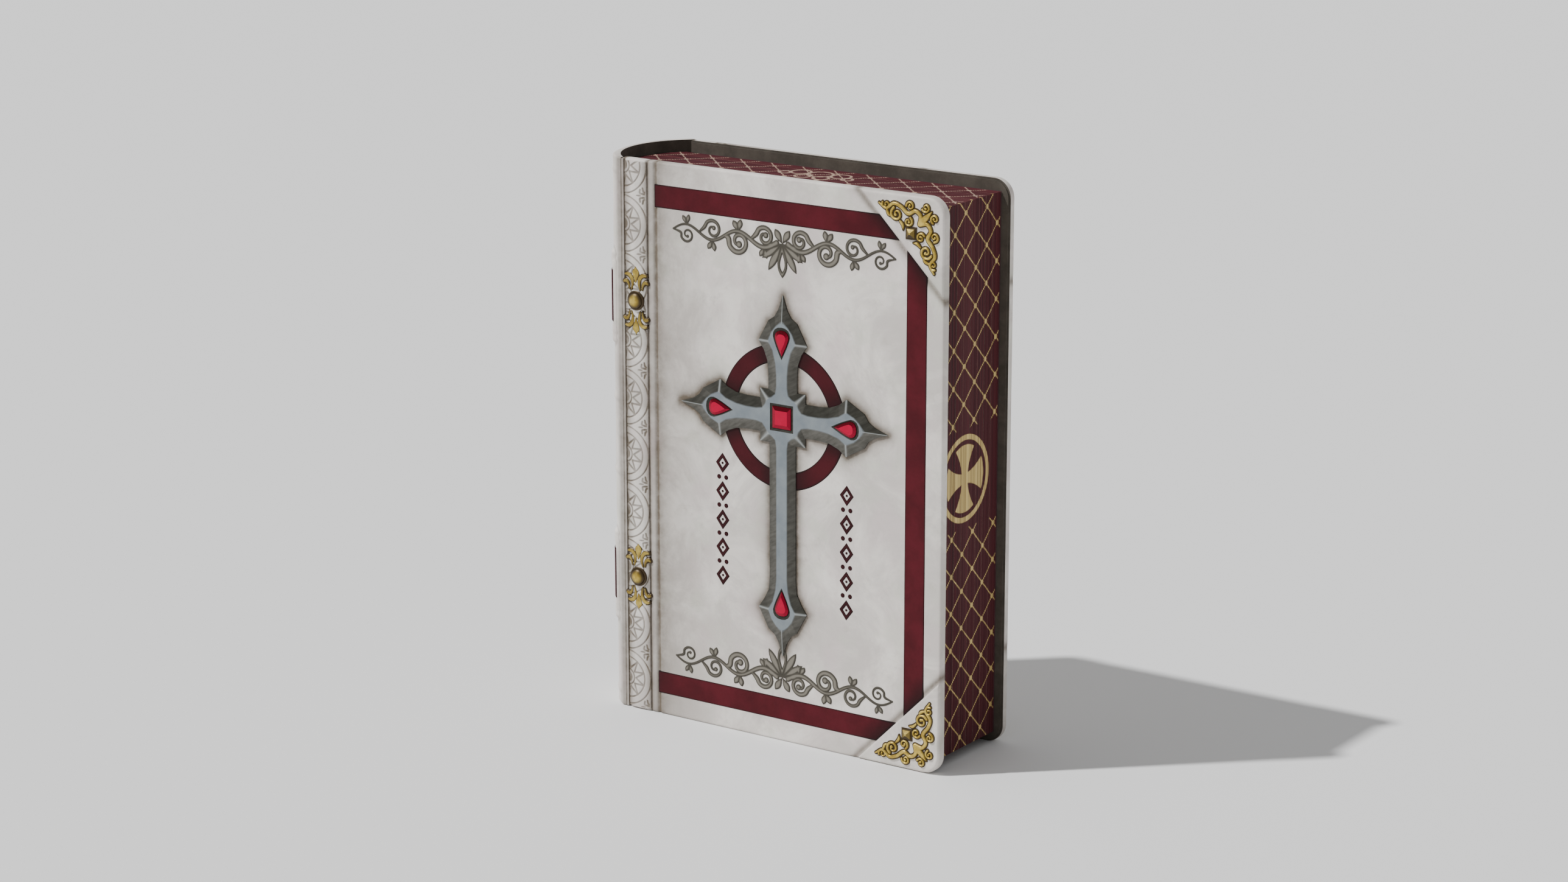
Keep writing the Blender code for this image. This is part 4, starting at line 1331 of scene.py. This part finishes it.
# x, depth and radius of each curl on the head edge.
HEAD_CURLS = [(43.0, 34.0, 2.4), (48.5, 38.0, 4.2), (54.0, 31.0, 3.4), (58.5, 37.5, 5.4),
              (63.0, 31.0, 3.4), (68.5, 38.0, 4.2), (74.0, 34.0, 2.4)]
# A crossing of the gilt lattice and its pitch, along each of its four directions.
FORE_LATTICE_Y = (13.8, 15.95)
FORE_LATTICE_Z = (222.6, 15.75)
HEAD_LATTICE_X = (8.0, 15.95)
HEAD_LATTICE_Y = (34.5, 15.95)
FORE_BAND = 1.2
EMBLEM_Y = 23.2
EMBLEM_Z = 120.4
EMBLEM_RADIUS = 17.3
CROSS_END = 14.0
FIRST_SEED = 40
BACK_SEED = 77


def make_block_looks():
    """Stained page edges with a gilt lattice and round emblem, and plain paper."""
    look = Look("stained_edges", 0.65, shine=0.15)
    fibre = look.noise(1.0, 5.0, 0.7, look.stretch((3.0, 2100.0, 3.0)))
    wide = look.noise(1.0, 4.0, 0.65, look.stretch((2.0, 620.0, 2.0)))
    base = look.mix(look.band(fibre, 0.28, 0.72), (0.011, 0.002, 0.003, 1),
                    (0.085, 0.013, 0.019, 1))
    base = look.mix(look.band(wide, 0.38, 0.66, 0.0, 0.6), base, (0.098, 0.024, 0.028, 1))
    fore = look.math("GREATER_THAN", look.axis(0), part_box("section_1")[1].x - FORE_BAND * MM)
    first = lattice(look, look.datum(1, *FORE_LATTICE_Y), look.datum(2, *FORE_LATTICE_Z))
    second = lattice(look, look.datum(0, *HEAD_LATTICE_X), look.datum(1, *HEAD_LATTICE_Y))
    gilt = look.math("ADD", look.math("MULTIPLY", first, fore),
                     look.math("MULTIPLY", second, look.math("SUBTRACT", 1.0, fore)))
    emblem, clear = emblem_masks(look)
    open_field = look.math("SUBTRACT", 1.0, look.math("MULTIPLY", clear, fore))
    gilt = look.math("MULTIPLY", gilt, open_field)
    gilt = look.math("MAXIMUM", gilt, look.math("MULTIPLY", emblem, fore))
    scatter = look.band(fibre, 0.30, 0.56, 0.22, 1.0)
    gilt = look.math("MULTIPLY", gilt, scatter, clamp=True)
    faded = look.math("MULTIPLY_ADD", fore, 0.28, 0.72)
    gilt = look.math("MULTIPLY", gilt, faded)
    gilt = look.math("MAXIMUM", gilt, look.math("MULTIPLY", head_curls(look),
                                                look.math("SUBTRACT", 0.62, fore), clamp=True))
    rich = look.mix(look.band(fibre, 0.3, 0.7), (0.36, 0.24, 0.075, 1), (0.80, 0.61, 0.24, 1))
    gold = look.mix(fore, (0.55, 0.40, 0.30, 1), rich)
    colour = look.mix(gilt, base, gold)
    look.bump(fibre, 0.5, 0.0002)
    edges = look.finish(colour, look.math("MULTIPLY_ADD", gilt, -0.2, 0.62))
    paper = Look("cream_paper", 0.85)
    laid = paper.noise(1.0, 3.0, 0.5, paper.stretch((900.0, 1.0, 60.0)))
    tint = paper.mix(paper.math("MULTIPLY", laid, 0.18), cream(paper), (0.45, 0.38, 0.28, 1))
    return edges, paper.finish(tint)


def cream(look):
    """Clouded cream, with the tooth of paper."""
    look.bump(look.noise(1500.0, 4.0, 0.6), 0.2, 0.0001)
    return look.mix(look.band(look.noise(25.0, 5.0, 0.6), 0.3, 0.7),
                    (0.60, 0.53, 0.41, 1), (0.72, 0.655, 0.53, 1))


def lattice(look, u, v):
    """Gold lines at 45 degrees, beaded, with a blot at each crossing."""
    def folded(value):
        part = look.math("FRACT", value)
        return look.math("ABSOLUTE", look.math("SUBTRACT", part, 0.5))
    rising = folded(look.math("ADD", look.math("ADD", u, v), 0.5))
    falling = folded(look.math("ADD", look.math("SUBTRACT", u, v), 0.5))
    near = look.math("MINIMUM", rising, falling)
    far = look.math("MAXIMUM", rising, falling)
    beads = look.math("MULTIPLY_ADD", look.math("COSINE", look.math("MULTIPLY", far, 75.4)),
                      0.015, 0.021)
    lines = look.band(look.math("SUBTRACT", near, beads), 0.010, -0.010)
    blot = look.band(far, 0.090, 0.062)
    return look.math("MAXIMUM", lines, blot)


def head_curls(look):
    """Faint gilt flourish on the head edge: a row of linked curls."""
    drawn = None
    for centre_x, centre_y, radius in HEAD_CURLS:
        away = look.distance(look.datum(0, centre_x), look.datum(1, centre_y))
        line = look.band(look.math("ABSOLUTE", look.math("SUBTRACT", away, radius)), 0.75, 0.35)
        drawn = line if drawn is None else look.math("MAXIMUM", drawn, line)
    return drawn


def emblem_masks(look):
    """Ring with a flared equal-armed cross inside, and the clear field round it."""
    across = look.math("ABSOLUTE", look.datum(1, EMBLEM_Y))
    along = look.math("ABSOLUTE", look.datum(2, EMBLEM_Z))
    away = look.distance(across, along)
    ring = look.band(look.math("ABSOLUTE", look.math("SUBTRACT", away, EMBLEM_RADIUS)), 1.25, 0.95)
    small = look.math("MINIMUM", across, along)
    large = look.math("MAXIMUM", across, along)
    flare = look.math("MULTIPLY_ADD", look.math("MULTIPLY", large, large), 0.031, 2.1)
    arms = look.band(look.math("SUBTRACT", small, flare), 0.2, -0.2)
    arms = look.math("MULTIPLY", arms, look.band(away, CROSS_END + 0.4, CROSS_END))
    clear = look.band(along, 21.6, 20.6)
    return look.math("MAXIMUM", ring, arms), clear


def page_slices(low_y, high_y, seed):
    """Depths of thin leaves with a slightly uneven trimmed edge."""
    count = max(4, int((high_y - low_y) / LEAF_PITCH))
    ys = np.linspace(low_y, high_y, count + 1)
    draw = np.random.default_rng(seed)
    fray = draw.uniform(0.0, BLOCK_FRAY, count + 1)
    fray[0] = fray[-1] = BLOCK_FRAY
    return ys, fray


def slab_of_leaves(name, ys, fray, left, right, bottom, top, looks, body, nodes):
    """Stack of leaves: edges follow the fray, the two outer faces are plain paper."""
    points, faces, which = [], [], []
    for k, y in enumerate(ys):
        inset = fray[k]
        x0, x1 = left[k], right[k] - inset
        points += [(x0, y, bottom + inset), (x1, y, bottom + inset), (x1, y, top - inset),
                   (x0, y, top - inset)]
    for k in range(len(ys) - 1):
        a, b = 4 * k, 4 * (k + 1)
        for m in range(4):
            n = (m + 1) % 4
            faces.append((a + m, a + n, b + n, b + m))
            which.append(0)
    last = 4 * (len(ys) - 1)
    faces += [(3, 2, 1, 0), (last, last + 1, last + 2, last + 3)]
    which += [1, 1]
    piece = make_piece(name, points, faces, looks, which=which)
    fix_normals(piece)
    tag(piece, body, nodes)


def datum_box(node):
    """A node's box in datum millimetres."""
    low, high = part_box(node)
    return (np.array(low) - DATUM) / MM, (np.array(high) - DATUM) / MM


def make_pages(looks):
    """Leaves, their sewn back and the two flyleaves."""
    close = 0.13
    core_low, core_high = datum_box("text_block_core")
    seats = []
    for k in range(SECTION_COUNT):
        node = "section_%d" % (k + 1)
        low, high = datum_box(node)
        radius = (high[1] - low[1]) / 2
        middle = (high[1] + low[1]) / 2
        axis_x = low[0] + radius
        seats.append((middle, radius, axis_x, low[1] - close, high[1] + close))
        ys, fray = page_slices(low[1] - close, high[1] + close, FIRST_SEED + k)
        left = axis_x - np.sqrt(np.maximum(radius ** 2 - (ys - middle) ** 2, 0.0))
        left = np.where(np.abs(ys - middle) > radius, axis_x + FOLD_TAPER, left)
        right = np.full(len(ys), high[0])
        slab_of_leaves("leaves_%d" % (k + 1), ys, fray, left, right, low[2], high[2],
                       [looks["edges"], looks["paper"]], node, [node])
    ys, fray = page_slices(core_low[1], core_high[1], BACK_SEED)
    bulge = SPINE_BLOCK - np.zeros(len(ys))
    left = SPINE_CENTRE_X - np.sqrt(np.maximum(bulge ** 2 - (ys - DEPTH / 2) ** 2, 0.0))
    right = np.full(len(ys), core_high[0] + 0.2)
    for k, y in enumerate(ys):
        for middle, radius, axis_x, low_y, high_y in seats:
            if low_y <= y <= high_y:
                reach = max(radius ** 2 - (y - middle) ** 2, 0.0) ** 0.5
                right[k] = axis_x - reach - 0.05
    right = np.minimum(right, seats[0][2] - CUSP_DROP)
    slab_of_leaves("sewn_back", ys, fray, left, right + fray, core_low[2], core_high[2],
                   [looks["edges"], looks["edges"]], "text_block",
                   ["text_block_core"])
    for node in ("front_flyleaf", "back_flyleaf"):
        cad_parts[node].data.materials.clear()
        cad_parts[node].data.materials.append(looks["flyleaf"])


# ---------------------------------------------------------------- spine and linings

SPINE_CENTRE_X = 3.1
SPINE_INNER = 31.6
SPINE_BLOCK = 30.5
SPINE_LIP_X = -16.6
SPINE_OUTER = 34.0
SHOULDER_AT = 20.5
SHOULDER_RISE = 0.9
CARTOUCHE_ZS = (179.6, 57.6)
LABEL_HALF = 11.2
LABEL_REACH = 24.4
SPINE_FINE = 0.6
SPINE_ROUND = 0.7
JOINT_LOW_X = -18.4
JOINT_HIGH_X = -15.3
JOINT_OUTER = 0.02
JOINT_INNER = 0.5


def spine_profile():
    """Outer face of the spine in plan: girth from its middle, x, depth and normal."""
    half = DEPTH / 2
    reach = math.asin(half / SPINE_OUTER)
    angles = np.linspace(-reach, reach, 601)
    x = SPINE_CENTRE_X - SPINE_OUTER * np.cos(angles)
    y = half + SPINE_OUTER * np.sin(angles)
    lip = np.linspace(SPINE_LIP_X, x[0], 16)[:-1]
    x = np.concatenate((lip, x, lip[::-1]))
    y = np.concatenate((np.zeros(len(lip)), y, np.full(len(lip), DEPTH)))
    girth = np.concatenate(([0.0], np.cumsum(np.hypot(np.diff(x), np.diff(y)))))
    girth -= girth[-1] / 2
    even = np.linspace(girth[0], girth[-1], 801)
    x, y = np.interp(even, girth, x), np.interp(even, girth, y)
    turn = np.unwrap(np.arctan2(np.gradient(y), np.gradient(x)))
    wide = 25
    turn = np.convolve(np.pad(turn, wide, mode="edge"), np.ones(2 * wide + 1) / (2 * wide + 1),
                       mode="valid")
    return np.column_stack((even, x, y, -np.sin(turn), np.cos(turn)))


SPINE_TABLE = spine_profile()
SPINE_GIRTH = SPINE_TABLE[-1, 0]


def spine_point(s, rise):
    """Plan point at a girth from the middle of the spine, raised off its face."""
    x, y, nx, ny = (np.interp(s, SPINE_TABLE[:, 0], SPINE_TABLE[:, k]) for k in (1, 2, 3, 4))
    full = rise + SHOULDER_RISE * hump(np.abs(s), SHOULDER_AT, 7.5)
    return x + nx * full, y + ny * full


def cartouche_distance(s, z):
    """Signed distance to the raised cartouches, with cusped shoulders."""
    best = np.full(np.shape(s), FAR)
    for middle in CARTOUCHE_ZS:
        a = np.abs(s)
        b = np.abs(z - middle)
        body = np.maximum(a - 27.0, b - 15.4)
        cap = np.hypot(a / 1.8, b - 11.0) - 12.6
        notch = 2.3 - np.minimum(np.hypot(a - 18.5, b - 18.6), np.hypot(a - 28.5, b - 17.0))
        lobe = np.hypot(a / 1.3, b - 19.5) - 4.6
        lobe = np.minimum(lobe, np.hypot(a - 23.5, b - 16.5) - 4.2)
        shape = np.minimum(np.minimum(body, cap), lobe)
        best = np.minimum(best, np.maximum(shape, notch))
    return best


def spine_rise(s, z):
    """Height of the leather above the plain round of the spine."""
    card = cartouche_distance(s, z)
    rise = 1.0 * step_up(-card, 0.0, 1.6)
    rim = 0.32 * hump(-card, 3.0, 0.55)
    for middle in CARTOUCHE_ZS:
        inner = np.maximum(np.abs(s) - 25.2, np.abs(z - middle) - LABEL_HALF - 0.6)
        rise = rise - 0.25 * step_up(-inner, -0.5, 0.3)
    for middle in (HEIGHT / 2 - 16.0, HEIGHT / 2 + 16.0):
        rise = rise + 0.5 * hump(z, middle, 1.3)
    for level in (6.0, HEIGHT - 6.0):
        rise = rise + 0.35 * hump(z, level, 1.0)
    return rise - rim


def make_spine(looks):
    """Rounded spine: tooled leather outside, dark lining inside."""
    ss = grid_lines(-SPINE_GIRTH, SPINE_GIRTH,
                    both_ends(-SPINE_GIRTH, SPINE_GIRTH, (3.0, 0.4)), SPINE_FINE)
    zs = grid_lines(0.0, HEIGHT, both_ends(0.0, HEIGHT, (1.6, 0.25)), SPINE_FINE)
    points, soil_and_shade = [], []
    stride = len(ss)
    fade = step_up(SPINE_GIRTH - np.abs(ss), 0.4, 4.0)
    for z in zs:
        edge = min(z, HEIGHT - z)
        fall = SPINE_ROUND - math.sqrt(max(SPINE_ROUND ** 2
                                           - (SPINE_ROUND - min(edge, SPINE_ROUND)) ** 2, 0.0))
        level = np.full(stride, z)
        card = cartouche_distance(ss, level)
        # Painted shade round the foot of each cartouche and in the valley at each joint; a dark tooled line
        # inside each cartouche; wear at the head and tail.
        dirt_and_shade = 0.40 * hump(card, 0.4, 0.7) + 0.22 * hump(-card, 3.0, 0.6)
        dirt_and_shade = dirt_and_shade + 0.62 * hump(np.abs(ss), SPINE_GIRTH, 4.2) + 0.10 * hump(edge, 0.0, 2.0)
        px, py = spine_point(ss, spine_rise(ss, level) * fade - fall)
        points += np.column_stack((px, py, level)).tolist()
        soil_and_shade += dirt_and_shade.tolist()
    faces = grid_faces(len(zs), stride)
    which = [0] * len(faces)
    reach = math.acos((SPINE_CENTRE_X - SPINE_LIP_X) / SPINE_INNER)
    start = len(points)
    count = 60
    for z in (0.0, HEIGHT):
        for a in np.linspace(-reach, reach, count):
            points.append((SPINE_CENTRE_X - SPINE_INNER * math.cos(a),
                           DEPTH / 2 + SPINE_INNER * math.sin(a), z))
            soil_and_shade.append(0.3)
    for k in range(count - 1):
        faces.append((start + k + 1, start + k, start + count + k, start + count + k + 1))
        which.append(1)
    last = (len(zs) - 1) * stride
    for low, floor, flip in ((last, start + count, False), (0, start, True)):
        for k in range(stride - 1):
            a = min(count - 1, int(k * count / stride))
            b = min(count - 1, int((k + 1) * count / stride))
            ring = [low + k, low + k + 1, floor + b] + ([floor + a] if a != b else [])
            faces.append(tuple(reversed(ring)) if not flip else tuple(ring))
            which.append(0)
    faces.append((last, start + count, start, 0))
    faces.append((stride - 1, start + count - 1, start + 2 * count - 1, last + stride - 1))
    which += [1, 1]
    shell = make_piece("spine_leather", points, faces, [looks["leather"], looks["lining"]],
                       {"soil_and_shade": np.clip(soil_and_shade, 0, 1)}, which, sharp=60.0)
    fix_normals(shell)
    tag(shell, "text_block", ["spine_shell"])
    for where, middle in zip(("upper", "lower"), CARTOUCHE_ZS):
        make_label(where, middle, looks)
    make_joints(looks)


def make_joints(looks):
    """Leather joints that bridge the line between the spine and each board."""
    for label, front in COVERS:
        xs = np.linspace(JOINT_LOW_X, JOINT_HIGH_X, 29)
        zs = np.linspace(0.35, HEIGHT - 0.35, 120)
        points, soil_and_shade = [], []
        for layer in (JOINT_OUTER, JOINT_INNER):
            for z in zs:
                for x in xs:
                    points.append((x, side(front, layer), z))
                    # Painted shade: the joint leather is dark all over, deepest along the spine's lip.
                    soil_and_shade.append(0.58 + 0.25 * float(hump(x, SPINE_LIP_X + 0.2, 0.5)))
        across, up = len(xs), len(zs)
        base = across * up
        sheet = grid_faces(up, across)
        faces = sheet + [tuple(base + corner for corner in face) for face in sheet]
        for j in range(up - 1):
            for i in (0, across - 1):
                a = j * across + i
                faces.append((a, a + across, base + a + across, base + a))
        for i in range(across - 1):
            for j in (0, up - 1):
                a = j * across + i
                faces.append((a, a + 1, base + a + 1, base + a))
        joint = make_piece(label + "_joint_leather", points, faces, [looks["leather"]],
                           {"soil_and_shade": soil_and_shade})
        fix_normals(joint)
        shade_smooth(joint.data, 50.0)
        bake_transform(joint)


def make_label(where, middle, looks):
    """Plain red leather label on the spine, with a scorched rim."""
    ss, zs = (grid_lines(-half, half, both_ends(-half, half, (1.5, 0.25)), 0.8)
              for half in (LABEL_REACH, LABEL_HALF))
    points, soil_and_shade = [], []
    for s in ss:
        for z in zs:
            depth = min(LABEL_REACH - abs(s), LABEL_HALF - abs(z))
            rise = 0.75 + float(pillow(depth, 0.6, 0.35))
            if depth <= 0.0:
                rise = 0.55
            px, py = spine_point(s, rise)
            points.append((px, py, middle + z))
            soil_and_shade.append(float(np.clip(0.9 * hump(depth, 0.0, 0.5) + 0.4 * hump(depth, 2.2, 0.3),
                                      0.0, 1.0)))
    faces = grid_faces(len(ss), len(zs))
    label = make_piece("spine_title_" + where, points, faces, [looks["red"]], {"soil_and_shade": soil_and_shade},
                       sharp=60.0)
    tag(label, "text_block", ["spine_label_" + where])


def dress_kept_nodes(looks):
    """Better materials on the nodes whose shapes stay."""
    for node, look in (("front_pastedown", "lining"), ("back_pastedown", "lining"),
                       ("spine_lining", "cloth")):
        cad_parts[node].data.materials.clear()
        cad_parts[node].data.materials.append(looks[look])


# ---------------------------------------------------------------- stage

FLOOR_HALF = 30.0
SUN_POWER = 3.9
SKY_POWER = 0.465
FLOOR_GREY = 0.805


def make_stage():
    """Plain pale floor, one soft sun and an even sky."""
    mesh = bpy.data.meshes.new("floor")
    mesh.from_pydata([(-FLOOR_HALF, -FLOOR_HALF, 0), (FLOOR_HALF, -FLOOR_HALF, 0),
                      (FLOOR_HALF, FLOOR_HALF, 0), (-FLOOR_HALF, FLOOR_HALF, 0)], [], [(0, 1, 2, 3)])
    look = Look("floor_paper", 0.9, shine=0.1)
    mesh.materials.append(look.finish((FLOOR_GREY, FLOOR_GREY, FLOOR_GREY, 1)))
    add_object("floor", mesh)
    sun = bpy.data.lights.new("sun", "SUN")
    sun.energy = SUN_POWER
    sun.angle = math.radians(1.6)
    holder = add_object("sun", sun)
    holder.rotation_euler = Vector(SUN_DIRECTION).to_track_quat("-Z", "Y").to_euler()
    world = bpy.data.worlds.new("studio")
    world.use_nodes = True
    sky = world.node_tree.nodes["Background"]
    sky.inputs["Color"].default_value = (1.0, 1.0, 1.0, 1.0)
    sky.inputs["Strength"].default_value = SKY_POWER
    bpy.context.scene.world = world


def flyleaf_look():
    """Cream paper whose trimmed edges carry the same stain as the block."""
    look = Look("flyleaf_paper", 0.85)
    low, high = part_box("front_flyleaf")
    x, z = look.axis(0), look.axis(2)
    near = look.math("MAXIMUM", look.math("SUBTRACT", x, high.x),
                     look.math("MAXIMUM", look.math("SUBTRACT", z, high.z),
                               look.math("SUBTRACT", low.z, z)))
    stained = look.band(near, -0.0004, -0.0001)
    return look.finish(look.mix(stained, cream(look), (0.075, 0.020, 0.028, 1)))


# ---------------------------------------------------------------- assembly


def build():
    """Dress the whole book."""
    looks = {
        "leather": leather_look(),
        "red": red_look(),
        "ornament": ornament_look(),
        "gold": gold_look(),
        "steel": steel_look(),
        "gem": gem_look(),
        "lining": dark_look("dark_lining_paper", (0.058, 0.048, 0.036, 1), (0.100, 0.084, 0.066, 1)),
        "cloth": dark_look("spine_cloth", (0.035, 0.028, 0.020, 1), (0.075, 0.062, 0.048, 1)),
        "flyleaf": flyleaf_look(),
    }
    looks["edges"], looks["paper"] = make_block_looks()
    for label, front in COVERS:
        shade_outline = cross_outline(CROSS_BASE) if front else None
        make_cover_skin(label, front, looks, shade_outline)
        make_roundel_band(label, front, looks)
        make_inlays(label, front, looks)
        for top in (True, False):
            make_corner(label, front, top, looks)
    make_cross(looks)
    make_gems(looks)
    make_ornaments(looks)
    make_marks(looks)
    make_bosses(looks)
    make_pages(looks)
    make_spine(looks)
    dress_kept_nodes(looks)
    make_stage()


build()
